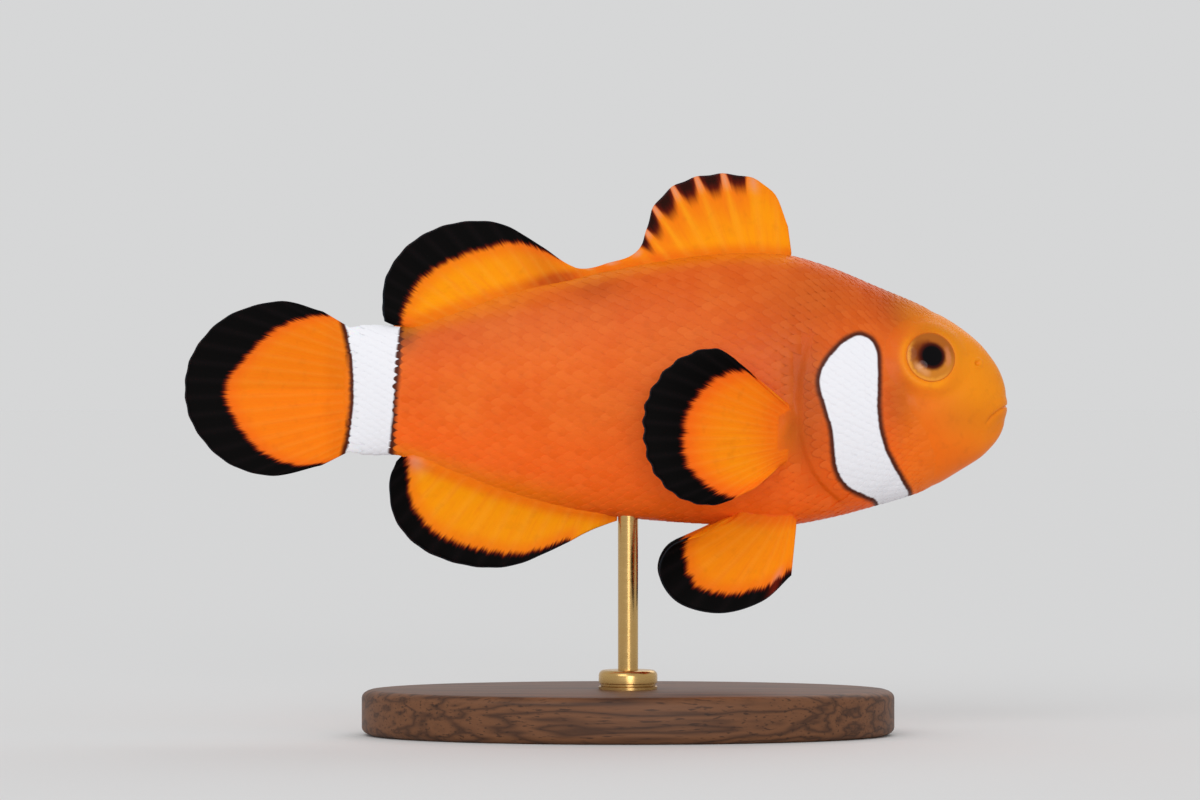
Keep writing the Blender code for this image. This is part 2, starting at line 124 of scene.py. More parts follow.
ANAL = (
    (59.6, -17.6, 59.9, -19.9, 0.0),
    (62.6, -17.2, 64.0, -21.4, 0.0),
    (65.8, -16.6, 69.0, -24.0, 0.45),
    (70.0, -15.4, 76.0, -26.8, 1.5),
    (75.0, -13.8, 83.0, -26.7, 2.6),
    (80.0, -12.2, 89.6, -24.2, 2.7),
    (84.6, -10.6, 93.6, -19.8, 3.1),
    (88.4, -9.4, 94.5, -14.4, 3.3),
    (91.0, -8.4, 93.4, -10.9, 1.6),
)
TAIL = (
    (99.0, 8.6, 104.6, 11.9, 0.7),
    (99.0, 7.0, 111.2, 13.5, 4.6),
    (99.0, 4.8, 119.2, 11.2, 6.9),
    (99.0, 2.4, 124.2, 6.0, 7.4),
    (99.0, 0.0, 125.6, 0.2, 5.7),
    (99.0, -2.4, 124.2, -5.6, 5.9),
    (99.0, -4.8, 119.4, -10.9, 5.1),
    (99.0, -7.0, 112.4, -13.1, 3.5),
    (99.0, -8.6, 104.8, -11.5, 0.5),
)
PECTORAL = (
    (33.0, -3.4, 40.0, 2.4, 0.7),
    (33.0, -3.9, 45.2, 6.2, 4.6),
    (33.1, -4.9, 51.5, 4.2, 5.9),
    (33.3, -5.9, 55.4, -0.8, 6.0),
    (33.5, -7.0, 56.2, -6.0, 5.6),
    (33.8, -8.1, 55.0, -11.6, 4.7),
    (34.1, -9.2, 51.2, -15.9, 4.2),
    (34.5, -10.2, 45.6, -17.3, 1.9),
    (34.9, -11.0, 39.4, -14.9, -2.0),
)
PELVIC = (
    (32.6, -19.2, 33.6, -28.0, 0.4),
    (33.4, -19.2, 38.0, -31.9, 1.9),
    (34.6, -19.0, 44.4, -33.7, 3.0),
    (36.2, -18.8, 50.7, -32.1, 3.3),
    (38.0, -18.6, 53.6, -27.8, 4.0),
    (39.8, -18.6, 52.0, -23.7, 2.2),
    (41.4, -18.4, 47.0, -21.9, -1.4),
)
PECTORAL_ROOT_MIDDLE = (34.0, -7.2)
PECTORAL_ROOT_DEPTH = 1.1
PECTORAL_SPREAD = 9.6
PELVIC_ROOT_FROM_MIDDLE = 2.2
PELVIC_SPREAD = 6.6

# ---- Places worked out from the frame

PERCENT = (cad_high[0] - cad_low[0]) / (TAIL_TIP - SNOUT_TIP)
MM = 0.001
MM_PERCENT = MM / PERCENT
SNOUT_X = cad_high[0] + SNOUT_TIP * PERCENT
AXIS_Z = sum(corner[2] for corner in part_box("eye_left")) / 2 - EYE_PLACE[1] * PERCENT
COAT = 0.11  # mm of scales over the skin
FAR = 9.0  # mm: nowhere near a white bar, a black margin or a fin's edge

# ---- Curves and grids

LINE_STEPS = 6


def numbered(rows):
    return [(i, *row) for i, row in enumerate(rows)]


def smooth(stations, column, at):
    """The cubic through one column of a table against its first column, at the given places."""
    xs, ys = np.array([(row[0], row[column]) for row in stations], float).T
    slopes = np.gradient(ys, xs)
    at = np.clip(np.asarray(at, float), xs[0], xs[-1])
    i = np.clip(np.searchsorted(xs, at, side="right") - 1, 0, len(xs) - 2)
    run = xs[i + 1] - xs[i]
    t = (at - xs[i]) / run
    return (
        (2 * t**3 - 3 * t**2 + 1) * ys[i]
        + (t**3 - 2 * t**2 + t) * run * slopes[i]
        + (3 * t**2 - 2 * t**3) * ys[i + 1]
        + (t**3 - t**2) * run * slopes[i + 1]
    )


def smooth_line(points):
    """A line through the points, rounded by the same cubic as the body."""
    at = np.linspace(0, len(points) - 1, LINE_STEPS * (len(points) - 1) + 1)
    return np.stack([smooth(numbered(points), column, at) for column in (1, 2)], -1)


def smooth_loop(points):
    """A closed line through the points: the ends overlap while it is rounded, and are then cut off."""
    return smooth_line([*points[-2:], *points, *points[:3]])[2 * LINE_STEPS : -2 * LINE_STEPS]


def step(x, low, high):
    """0 below low and 1 above high, with a smooth rise; low may be the larger."""
    t = np.clip((np.asarray(x, float) - low) / (high - low), 0, 1)
    return t * t * (3 - 2 * t)


def bell(x, width):
    return np.exp(-((np.asarray(x) / width) ** 2))


def ridges(x, rows):
    """Rounded ridges, each given by its place, width and height, where a height below nothing is a groove."""
    return sum(height * bell(x - at, width) for at, width, height in rows)


def spot(behind, height, row):
    """A soft spot, given by its place, its half length and half height, and its strength."""
    at_behind, at_height, long, tall, strength = row
    return strength * bell(np.hypot((behind - at_behind) / long, (height - at_height) / tall), 1.0)


def line_distance(line, behind, height):
    """Signed distance of points from a line in the side view, in hundredths: positive to its left."""
    point = np.stack([behind, height], -1)[..., None, :]
    start, run = line[:-1], np.diff(line, axis=0)
    t = np.clip(((point - start) * run).sum(-1) / (run**2).sum(-1), 0, 1)
    off = point - start - t[..., None] * run
    distance = np.linalg.norm(off, axis=-1)
    nearest = np.argmin(distance, axis=-1)[..., None]
    side = np.sign(run[:, 0] * off[..., 1] - run[:, 1] * off[..., 0])
    return (np.take_along_axis(distance, nearest, -1) * np.take_along_axis(side, nearest, -1))[..., 0]


def place(points):
    """Points given as (behind, height, across), in metres in the frame."""
    behind, height, across = np.moveaxis(points, -1, 0)
    return np.stack([SNOUT_X - behind * PERCENT, across * PERCENT, AXIS_Z + height * PERCENT], -1)


def unit(vectors):
    return vectors / np.maximum(np.linalg.norm(vectors, axis=-1, keepdims=True), 1e-12)


def sample(grid, row, column):
    """A grid's values between its points, at fractional rows and columns."""
    i = np.clip(np.floor(row).astype(int), 0, grid.shape[0] - 2)
    j = np.clip(np.floor(column).astype(int), 0, grid.shape[1] - 2)
    s, t = np.clip(row - i, 0, 1), np.clip(column - j, 0, 1)
    if grid.ndim == 3:
        s, t = s[..., None], t[..., None]
    near = grid[i, j] * (1 - t) + grid[i, j + 1] * t
    return near * (1 - s) + (grid[i + 1, j] * (1 - t) + grid[i + 1, j + 1] * t) * s


# ---- Meshes made from arrays


class Patch:
    """Points, groups of faces with one row of corners per face, and point values that become one mesh."""

    def __init__(self, points, faces, values=None):
        self.points = np.reshape(points, (-1, 3))
        self.faces, self.values = faces, values or {}


def grid_faces(index):
    """The faces of a grid of point numbers, each with its corners along the row first."""
    corners = index[:-1, :-1], index[:-1, 1:], index[1:, 1:], index[1:, :-1]
    return np.stack(corners, -1).reshape(-1, 4)


def grid_rim(index):
    return np.concatenate([index[:, 0], index[-1, 1:], index[-2::-1, -1], index[0, -2:0:-1]])


OTHER_WAY_ROUND = [0, 3, 2, 1]


def joined(patches):
    starts = np.cumsum([0] + [len(patch.points) for patch in patches[:-1]])
    faces = [group + start for patch, start in zip(patches, starts, strict=True) for group in patch.faces]
    values = {name: np.concatenate([patch.values[name] for patch in patches]) for name in patches[0].values}
    return Patch(np.concatenate([patch.points for patch in patches]), faces, values)


def read(items, name, width=1, kind=np.float32):
    """One property of every item, with a row per item where it has more than one number."""
    values = np.empty(len(items) * width, kind)
    items.foreach_get(name, values)
    return values.reshape(-1, width) if width > 1 else values


def set_values(mesh, values):
    for name, value in values.items():
        layer = mesh.attributes.get(name) or mesh.attributes.new(name, "FLOAT", "POINT")
        layer.data.foreach_set("value", np.asarray(value, np.float32))


def to_mesh(name, patch):
    mesh = bpy.data.meshes.new(name)
    counts = np.concatenate([np.full(len(group), group.shape[1]) for group in patch.faces])
    corners = np.concatenate([group.ravel() for group in patch.faces])
    mesh.vertices.add(len(patch.points))
    mesh.vertices.foreach_set("co", patch.points.ravel())
    mesh.loops.add(len(corners))
    mesh.loops.foreach_set("vertex_index", corners)
    mesh.polygons.add(len(counts))
    mesh.polygons.foreach_set("loop_start", np.concatenate([[0], np.cumsum(counts)[:-1]]))
    mesh.update(calc_edges=True)
    mesh.validate()
    set_values(mesh, patch.values)
    return mesh


def face_outwards(mesh):
    cage = bmesh.new()
    cage.from_mesh(mesh)
    bmesh.ops.recalc_face_normals(cage, faces=cage.faces)
    cage.to_mesh(mesh)
    cage.free()


def link(name, data, material=None):
    """Puts a mesh, a light or a camera in the scene."""
    made = bpy.data.objects.new(name, data)
    bpy.context.scene.collection.objects.link(made)
    if material:
        data.materials.append(material)
    return made


def smooth_piece(name, patch, material, sharp=None):
    """A closed piece, smooth all over or up to an angle in degrees between its faces."""
    mesh = to_mesh(name, patch)
    face_outwards(mesh)
    mesh.shade_smooth()
    if sharp:
        mesh.set_sharp_from_angle(angle=math.radians(sharp))
    return link(name, mesh, material)


# ---- The body's form

# The body's table against the square root of the distance from the tip, which makes the snout round.
ROUNDED_BODY = [(math.sqrt(row[0] - SNOUT_TIP), *row[1:]) for row in BODY]
MOUTH = ((-0.5, -2.2), (0.9, -2.6), (2.2, -3.3), (3.3, -4.2), (4.1, -5.2))
HEAD_BAR = (
    (23.3, 8.0), (21.7, 7.2), (20.9, 5.2), (20.8, 1.5), (20.8, -3.6), (19.9, -8.1), (18.5, -11.3),
    (16.6, -14.4), (15.7, -16.4), (15.6, -19.4), (19.0, -19.2), (20.5, -16.7), (22.6, -15.6),
    (24.9, -14.5), (26.4, -12.4), (26.9, -9.9), (27.3, -6.3), (28.4, -2.6), (29.3, 0.4),
    (29.0, 2.8), (27.2, 5.6), (25.0, 7.4),
)
GILL_LINE, COVER_LINE, MOUTH_LINE = smooth_line(GILL_MARGIN), smooth_line(COVER_FRONT), smooth_line(MOUTH)
HEAD_BAR_LINE = smooth_loop(HEAD_BAR)


def section(behind):
    """Middle height, half height, half width and squareness of the body."""
    along = np.sqrt(np.maximum(np.asarray(behind) - SNOUT_TIP, 0.0))
    back, belly, half, square = [smooth(ROUNDED_BODY, column, along) for column in (1, 2, 3, 4)]
    return (back + belly) / 2, (back - belly) / 2, half, square


def around(behind, turn):
    """Points of the plain body, where turn runs from 0 at the left side over the back."""
    middle, tall, half, square = section(behind)
    c, s = np.cos(turn), np.sin(turn)
    across = np.sign(c) * np.abs(c) ** (2 / square) * half
    height = middle + np.sign(s) * np.abs(s) ** (2 / square) * tall
    return np.stack([np.broadcast_to(behind, height.shape), height, across], -1)


def flank(behind, height):
    """How far from the middle the body's side is at a point of the side view."""
    middle, tall, half, square = section(behind)
    return half * np.maximum(0.0, 1 - (np.abs(height - middle) / tall) ** square) ** (1 / square)


def body_distance(points):
    """Rough distance of points from the body's surface, in hundredths: negative inside."""

    def fill(p):
        middle, tall, half, square = section(p[..., 0])
        up = np.abs(p[..., 1] - middle) / tall
        out = np.abs(p[..., 2]) / np.maximum(half, 0.05)
        return (up**square + out**square + 1e-9) ** (1 / square) - 1

    here = fill(points)
    nudge = 0.05
    slope = [(fill(points + nudge * axis) - here) / nudge for axis in np.eye(3)]
    off = here / np.maximum(np.linalg.norm(slope, axis=0), 1e-3)
    beyond = np.maximum(points[..., 0] - BODY_END, 0.0)
    return np.where(beyond > 0, np.hypot(np.maximum(off, 0.0), beyond), off)


EYE_RADIUS = 3.9
EYE_TURN = math.radians(14)  # how far the eyes look ahead and up
EYE_OUTWARDS = unit(np.array([-math.sin(EYE_TURN), math.sin(EYE_TURN), 1.0]))
EYE_SEAT = (*EYE_PLACE, float(flank(*EYE_PLACE)))

SOCKET_LEVEL, SOCKET_REACH = 0.02, 2.4  # how high the skin is brought round the eye, and how far out
SOCKET_DEPTH, SOCKET_SLOPE = 1.3, 1.0  # how deep it dips under the eye, and over what width
SOCKET_RIM = (0.45, 0.5, 0.07)  # its rim's distance from the eye, width, and height in millimetres


def round_eye(behind, height):
    """Distance from the eye in the side view, and the direction there: how far rearwards and how far up."""
    along, up = behind - EYE_PLACE[0], height - EYE_PLACE[1]
    distance = np.hypot(along, up) + 1e-6
    return distance, along / distance, up / distance


def eye_socket(points):
    """The same points, brought level round the nearer eye so that the skin closes over its edge, and pressed
    in under it."""
    side = np.sign(points[..., 2])
    off = np.concatenate([points[..., :2], np.abs(points[..., 2:])], -1) - EYE_SEAT
    along = (off * EYE_OUTWARDS).sum(-1)
    past = np.linalg.norm(off - along[..., None] * EYE_OUTWARDS, axis=-1) - EYE_RADIUS
    move = (SOCKET_LEVEL - along) * step(past, SOCKET_REACH, 0.0)
    move += ridges(past, [SOCKET_RIM]) * MM_PERCENT - SOCKET_DEPTH * step(past, -0.1, -0.1 - SOCKET_SLOPE)
    move *= (side != 0) & (along > -3.0)
    ahead = np.ones_like(side)
    return points + move[..., None] * EYE_OUTWARDS * np.stack([ahead, ahead, side], -1)


BARE_SNOUT, BARE_BOW = 10.2, (-1.0, 5.0, 4.6)  # where the scales start, and their edge's bow under the eye
BARE_RING = 5.3  # round the eye


def past_bare(behind, height):
    """How far past the edge of the bare skin a point is. The snout, lips, chin and a ring round the eye have
    no scales."""
    snout = behind - BARE_SNOUT - ridges(height, [BARE_BOW])
    return np.minimum(snout, round_eye(behind, height)[0] - BARE_RING)


def under_scales(behind, height):
    """How much of the coat's depth the skin is lowered by, from 0 on bare skin to 1."""
    return step(past_bare(behind, height), 0.0, 2.4)


# Reliefs. A ridge or groove is given by its distance from a line or place, its width, and its height in
# millimetres. The distances and widths are in millimetres too, except round the eye.
COVER_RISE, COVER_FADE = 0.20, 2.8  # the gill cover's rear edge, and how far ahead of it the rise fades
SLIT_DEPTH, SLIT_FADE = 0.16, 1.1  # the gill slit behind it
COVER_GROOVE = (0.0, 0.45, -0.07)
LIPS = ((0.45, 0.34, 0.05), (-0.45, 0.36, 0.06))
MOUTH_GROOVES = ((0.0, 0.10, -0.22), (1.20, 0.30, -0.04), (-1.30, 0.34, -0.05))
LIPS_DROP = 0.06
NOSTRIL = (5.4, 4.0)
NOSTRIL_RIDGES = ((0.42, 0.16, 0.13), (0.0, 0.26, -0.30))
EYE_BROW = (4.9, 0.9, 0.10)
EYE_HOLLOW = (6.4, 1.1, -0.10)
# The fleshy base that the pectoral fin grows from, just behind the gill opening: its height, how far it is
# behind the fin's root line, and which way and how far that line runs, all but the first in hundredths.
SWELLING, SWELLING_BEHIND = 0.80, 1.2
ROOT_RUN, ROOT_LENGTH = (0.2425, -0.9701), 7.834
VENT, VENT_PIT = 59.0, (0.0, 0.5, -0.35)


def relief(points):
    """How far the skin stands proud of the plain body, in millimetres: gill covers, mouth, lips, nostrils,
    brows and vent, and the room left for the scales."""
    behind, height, across = np.moveaxis(points, -1, 0)
    out = -COAT * under_scales(behind, height)

    gill, cover, mouth = [
        line_distance(line, behind, height) / MM_PERCENT for line in (GILL_LINE, COVER_LINE, MOUTH_LINE)
    ]
    opening = step(height, 11.0, 5.0) * step(height, -19.0, -14.5)
    edge = np.where(gill < 0, COVER_RISE * np.exp(gill / COVER_FADE), -SLIT_DEPTH * np.exp(-gill / SLIT_FADE))
    out += opening * (edge * step(np.abs(gill), 0, 0.12) + ridges(cover, [COVER_GROOVE]))
    out += step(behind, 4.9, 3.0) * (ridges(mouth, LIPS + MOUTH_GROOVES) - LIPS_DROP)
    out += ridges(np.hypot(behind - NOSTRIL[0], height - NOSTRIL[1]) / MM_PERCENT, NOSTRIL_RIDGES)

    along, up = behind - PECTORAL[0][0], height - PECTORAL[0][1]
    down = (along * ROOT_RUN[0] + up * ROOT_RUN[1]) / ROOT_LENGTH
    past = up * ROOT_RUN[0] - along * ROOT_RUN[1] - SWELLING_BEHIND
    lobe = bell(past, np.where(past < 0, 1.1, 2.6)) * step(down, -0.16, 0.2) * step(down, 1.16, 0.8)
    out += SWELLING * lobe

    # The bony ridge above the eye, and a soft hollow below and before it.
    distance, _, upwards = round_eye(behind, height)
    out += ridges(distance, [EYE_BROW]) * step(upwards, -0.2, 0.9)
    out += ridges(distance, [EYE_HOLLOW]) * step(upwards, 0.1, -0.8)
    vent = np.hypot(behind - VENT, across * 1.6) / MM_PERCENT
    return out + ridges(vent, [VENT_PIT]) * step(height, -17, -19)


def form(points, normals):
    """The plain body's points with their relief and the eye sockets."""
    return eye_socket(points + normals * (relief(points) * MM_PERCENT)[..., None])


# Soft spots: place, half length, half height and strength. Two of them are painted shadow where fins meet the
# body.
DUSKY_AND_SHADOW_SPOTS = (
    (33.0, 6.0, 7.8, 9.6, 0.30),
    # painted shadow at the pectoral fin's base
    (33.4, -7.6, 2.4, 4.08, 0.26),
    (26.0, 16.0, 7.0, 5.0, 0.14),
    (16.0, 12.6, 3.92, 2.8, 0.26),
    (63.0, 15.5, 4.16, 2.6, 0.25),
    # painted shadow under the rear end of the soft dorsal fin, where it meets the body
    (92.0, 8.7, 1.7, 2.21, 0.95),
    (17.2, -1.0, 3.0, 5.7, 0.48),
)
AMBER_SPOT = (35.0, -7.0, 3.0, 4.5, 0.20)
# Zones: strength, then each measure with where its rise starts and where it is full. "up" is the place on
# the section, from -1 at the belly to 1 at the back.
DUSKY_ZONES = (
    (0.24, ("up", 0.15, 0.85)),
    (0.27, ("behind", 26, 15), ("behind", 4, 12), ("up", 0.35, 0.9)),
    (0.46, ("behind", 15, 6), ("height", -8.5, -4)),
)
AMBER_ZONES = (
    (0.42, ("behind", 60, 75), ("up", -0.70, -1.0)),
    (0.42, ("behind", 66, 78), ("up", 0.70, 1.0)),
    (0.42, ("behind", 31, 35), ("behind", 94, 91), ("up", 0.86, 1.0)),
    (0.36, ("behind", 98.8, 100)),
)
# Dusky bands along the gill opening: distance behind it, width and strength, and the edges of each as above.
GILL_BANDS = (
    ((0.2, 2.4, 0.33), ("height", 9, 2), ("height", -19, -14)),
    ((-3.4, 2.6, 0.30), ("height", -16, -8), ("height", 6, 0)),
)
EYE_AMBER, EYE_DUSK = (4.3, 0.6, 0.50), (4.3, 0.7, 0.30)  # rings round the eye
TAIL_BAR_FRONT, TAIL_BAR_LEAN = 93.7, 0.08
TAIL_BAR_REAR, TAIL_BAR_BOW = 99.7, 1.4


def tail_bar_rear(height):
    """How far behind the snout tip the white bar round the tail stalk ends."""
    return TAIL_BAR_REAR + TAIL_BAR_BOW * (height / 10) ** 2


def markings(points):
    """Point values that colour the skin and the scales. bar is the signed distance from the white bars in
    millimetres, negative inside; amber and dusk shift the orange towards yellow and towards dark red, dusk
    also holding painted shadow at two fin bases, and low towards a lighter orange on the lower body, partly
    its own colour and partly painted fill light against the shade underneath."""
    behind, height = points[..., 0], points[..., 1]
    middle, tall, _, _ = section(behind)
    gill = line_distance(GILL_LINE, behind, height)
    measures = {"behind": behind, "height": height, "up": (height - middle) / tall}

    def zone(strength, *edges):
        return strength * math.prod(step(measures[name], low, high) for name, low, high in edges)

    distance, rearwards, upwards = round_eye(behind, height)
    # dusk holds darker patches of the skin and painted shadow at two fin bases
    dusk = sum(zone(*row) for row in DUSKY_ZONES) + sum(spot(behind, height, row) for row in DUSKY_AND_SHADOW_SPOTS)
    for band, *edges in GILL_BANDS:
        dusk += zone(ridges(gill, [band]), *edges)
    dusk += ridges(distance, [EYE_DUSK]) * step(0.8 * upwards - 0.7 * rearwards, 0.1, 0.8)

    snout = step(behind - 0.25 * height, 17.0, 5.0) * step(height - 0.5 * behind, -17, -7)
    face = 0.55 * snout * (1 - 0.42 * step(height, 0, -5)) + 0.20 * step(behind, 20, 15)
    amber = np.maximum.reduce([face, spot(behind, height, AMBER_SPOT), *(zone(*row) for row in AMBER_ZONES)])
    amber += ridges(distance, [EYE_AMBER]) * step(rearwards - 0.8 * upwards, -0.2, 0.7)

    head_bar = -line_distance(HEAD_BAR_LINE, behind, height)
    tail_bar = np.maximum(TAIL_BAR_FRONT - TAIL_BAR_LEAN * height - behind, behind - tail_bar_rear(height))
    return {
        "bar": np.minimum(head_bar, tail_bar) / MM_PERCENT,
        "amber": np.clip(amber, 0, 1),
        "dusk": np.clip(dusk, 0, 1),
        # the lower body: a lighter orange, partly its own colour and partly painted fill light against the
        # shade underneath
        "low": zone(1.0, ("up", -0.05, -0.75), ("behind", 8, 20)),
    }


# ---- The skin's body

SKIN_RINGS, SKIN_AROUND = 250, 208
SKIN_CROWDING = 1.8


def crowded(t):
    """Places behind the snout tip, for t from 0 to 1 at the body's end, closer together near the tip."""
    return SNOUT_TIP + (BODY_END - SNOUT_TIP) * t**SKIN_CROWDING


def grid_normals(points, closed):
    """Unit normals of a grid of points, outwards where its rows run back and its columns turn from the left
    or the belly over the back."""
    if closed:
        across = np.roll(points, -1, axis=1) - np.roll(points, 1, axis=1)
    else:
        across = np.gradient(points, axis=1)
    return unit(np.cross(np.gradient(points, axis=0), across))


def body_patch():
    behind = crowded(np.linspace(0, 1, SKIN_RINGS + 1)[1:])[:, None]
    turn = (np.arange(SKIN_AROUND) * 2 * math.pi / SKIN_AROUND)[None, :]
    plain = around(behind, turn)
    points = form(plain, grid_normals(plain, closed=True))
    far = np.full(points.shape[:2], FAR)
    values = markings(plain) | {"black": far, "edge": far}
    count = SKIN_RINGS * SKIN_AROUND
    index = np.arange(count).reshape(SKIN_RINGS, SKIN_AROUND)
    sides = grid_faces(np.hstack([index, index[:, :1]]))
    nose = np.stack([np.full(SKIN_AROUND, count), np.roll(index[0], -1), index[0]], -1)
    tip = (SNOUT_TIP, BODY[0][1], 0.0)
    values = {name: np.append(value.ravel(), value[0].mean()) for name, value in values.items()}
    return Patch(np.vstack([points.reshape(-1, 3), tip]), [sides, nose, index[-1:]], values)


# ---- The skin's fins

FLARE_REACH = 1.25  # mm
WEB_HALF = 0.10  # half the thickness of the web between the rays, in millimetres
FORK_SPREAD = 0.24  # of the distance between rays
ROOT_DUSK = 0.12


def nothing(*_):
    return 0.0


def fin_patch(
    keys, rays, per_ray, rows, across=nothing, notch=nothing, spiny=nothing, warm=nothing, dull=nothing,
    pale=nothing, bar=lambda middle: FAR, amber=0.9, root_amber=0.34, ray_half=0.15, flare=0.80, fade=0.04,
    settle=1.5,
):
    """A thin blade, in hundredths, with a ridge along each ray. Soft rays fork towards the edge, and the
    blade thickens into the body at its base.

    rays is the last ray's number, or the number at each key ray. across, notch and spiny say how far across
    the blade stands, how deep its edge is notched between rays, and which rays are spines. warm, dull, pale
    and bar colour it. root_amber is the share of its amber that is left at its base, and fade how far out its
    base's colour reaches. flare is how much thicker its half is where it leaves the body, in millimetres, and
    settle over how many rays that comes in from either end."""
    rays_at = np.linspace(0, rays, len(keys)) if np.isscalar(rays) else rays
    total = rays_at[-1]
    number = np.linspace(0, total, int(total * per_ray) + 1)
    at = np.interp(number, rays_at, np.arange(len(keys)))
    root_b, root_h, tip_b, tip_h, black = [smooth(numbered(keys), i, at)[:, None] for i in range(1, 6)]
    number = number[:, None]
    ray = at[:, None] / (len(keys) - 1)
    phase = np.abs(number - np.round(number))
    web = np.sin(math.pi * phase) ** 2
    steps = np.linspace(0, 1, rows + 1)[None, :]
    out = steps * (1 - notch(number) * web)
    length = np.hypot(tip_b - root_b, tip_h - root_h)
    side_view = root_b + (tip_b - root_b) * out, root_h + (tip_h - root_h) * out
    middle = np.stack([*side_view, across(ray, out) + 0 * out], -1)
    normal = unit(np.cross(np.gradient(middle, axis=0), np.gradient(middle, axis=1)))
    from_body = body_distance(middle)

    # Soft rays fork: the crest splits into two branches that drift apart.
    spine = spiny(number)
    crest = bell(phase - FORK_SPREAD * step(out, 0.35, 0.9) * (1 - spine), 0.16)
    half = (WEB_HALF + (ray_half - WEB_HALF) * crest) * (1 - 0.62 * out**1.5)
    half *= 0.25 + 0.75 * step((1 - steps) * length, 0, 0.5)
    from_end = np.minimum(number, total - number)
    half *= 0.45 + 0.55 * step(from_end, 0, 0.6)
    root = np.exp(-np.maximum(from_body, 0) / MM_PERCENT / FLARE_REACH)
    half = (half + flare * (0.15 + 0.85 * step(from_end, 0, settle)) * root) * MM_PERCENT
    sides = [middle + sign * normal * half[..., None] for sign in (1, -1)]

    top = np.arange(out.size).reshape(out.shape)
    rim = grid_rim(top)
    ahead = np.roll(rim, -1)
    edge = np.stack([ahead, rim, rim + out.size, ahead + out.size], -1)
    faces = [grid_faces(top)[:, OTHER_WAY_ROUND], grid_faces(top + out.size), edge]

    from_edge = (1 - steps) * length / MM_PERCENT
    dark = black * np.where(spine > 0.5, step(web, 0.10, 0.50), 1.0)
    grown = step(np.clip(from_body / 2.0, 0, 1) * step(steps, 0, fade), 0, 1)
    values = {
        "black": from_edge - dark / MM_PERCENT + 3.0 * step(dark, 0.30, 0.0),
        "edge": from_edge,
        "amber": np.clip(amber * (root_amber + (1 - root_amber) * grown) + warm(ray, out), 0, 1),
        "dusk": ROOT_DUSK * (1 - grown) + dull(number),
        # fins rooted below the axis take the same lighter orange, partly painted fill light
        "low": np.where(root_h < 0, 1.0, 0.0),
        "bar": bar(middle),
        "ray": number,
        "out": out,
        "fin": 1.0,
        "spiny": spine,
        "pale": pale(number, out),
    }
    values = {name: np.tile(np.broadcast_to(value, out.shape).ravel(), 2) for name, value in values.items()}
    return Patch(np.concatenate(sides), faces, values)


def mirrored(patch):
    return Patch(patch.points * (1, 1, -1), [group[:, ::-1] for group in patch.faces], patch.values)


def wave(size, turns):
    return lambda ray, out: size * np.sin(2 * math.pi * turns * ray) * out**2


def dorsal_across(ray, out):
    """Only the soft part of the dorsal fin waves."""
    return wave(0.7, 0.9)(np.clip(2 * ray - 1, 0, 1), out)


def dorsal_spiny(number):
    return step(number, SPINES + 0.3, SPINES - 0.3)


def dorsal_pale(number, out):
    tips = step(number, 1.2, 2.4) * step(out, 0.78, 0.95)
    return dorsal_spiny(number) * tips * bell(number - np.round(number), 0.17)


def tail_bar(middle):
    return np.maximum(middle[..., 0] - tail_bar_rear(middle[..., 1]), -9) / MM_PERCENT


def pectoral_across(ray, out):
    root = flank(*PECTORAL_ROOT_MIDDLE) - PECTORAL_ROOT_DEPTH
    cup = 1 - 0.35 * (2 * ray - 1) ** 2
    ripple = 0.35 * np.sin(9 * ray + 1) * out**2
    return root + PECTORAL_SPREAD * cup * (1 - (1 - out) ** 1.7) + ripple


def pectoral_warm(ray, out):
    return spot(ray, out, (0.66, 0.4, 0.3, 0.28, 0.34)) - 0.24 * step(out, 0.42, 0.74)


def pelvic_across(ray, out):
    return PELVIC_ROOT_FROM_MIDDLE + PELVIC_SPREAD * (0.6 + 0.4 * ray) * out**0.9


SPINES = len(SPINY_DORSAL)
DORSAL_RAYS_AT = [*range(SPINES), *np.linspace(SPINES + 0.5, SPINES + 15, len(SOFT_DORSAL))]


def all_fins():
    """Each fin with its key rays, its rays, its columns of points per ray, and its rows."""
    dorsal = fin_patch(
        (*SPINY_DORSAL, *SOFT_DORSAL), DORSAL_RAYS_AT, 6, 30, across=dorsal_across, amber=1.0,
        notch=lambda number: 0.006 + 0.009 * dorsal_spiny(number),
        spiny=dorsal_spiny,
        warm=lambda ray, out: ridges(ray, [(0.665, 0.06, -0.55)]),
        dull=lambda number: ridges(number, [(SPINES + 3.6, 2.4, 0.50)]),
        pale=dorsal_pale,
    )
    anal = fin_patch(
        ANAL, 15, 5, 26, across=wave(-0.6, 0.9), amber=1.0, notch=lambda number: 0.006,
        pale=lambda number, out: spot(number, out, (13.3, 0.34, 0.8, 0.13, 0.8)),
    )
    tail = fin_patch(
        TAIL, 17, 5, 44, across=wave(0.9, 1.0), notch=lambda number: 0.005, bar=tail_bar, amber=0.42,
        root_amber=0.85, flare=0.6, settle=5.0,
    )
    pectoral = fin_patch(
        PECTORAL, 17, 5, 34, across=pectoral_across, amber=0.40, flare=0.25, ray_half=0.145, fade=0.45,
        notch=lambda number: 0.016, warm=pectoral_warm,
    )
    pelvic = fin_patch(
        PELVIC, 9, 6, 28, across=pelvic_across, amber=0.73, ray_half=0.16,
        pale=lambda number, out: bell(number - 1.0, 0.28) * step(out, 0.62, 0.85),
    )
    return joined([dorsal, anal, tail, pectoral, mirrored(pectoral), pelvic, mirrored(pelvic)])


# ---- One skin


def neighbours_mean(mesh, rows):
    """For each vertex, the mean row over its neighbours that have their values, and how many there are."""
    a, b = read(mesh.edges, "vertices", 2, np.int32).T
    known = np.isfinite(rows[:, 0])
    total, count = np.zeros_like(rows), np.zeros((len(rows), 1))
    for here, there in ((a, b), (b, a)):
        use = known[there]
        np.add.at(total, here[use], rows[there[use]])
        np.add.at(count, here[use], 1)
    return total / np.maximum(count, 1), count[:, 0]


POCKET_FACES = 12  # fewer faces than this, cut off from the rest, are a pocket
SAME_PLACE = 1e-6


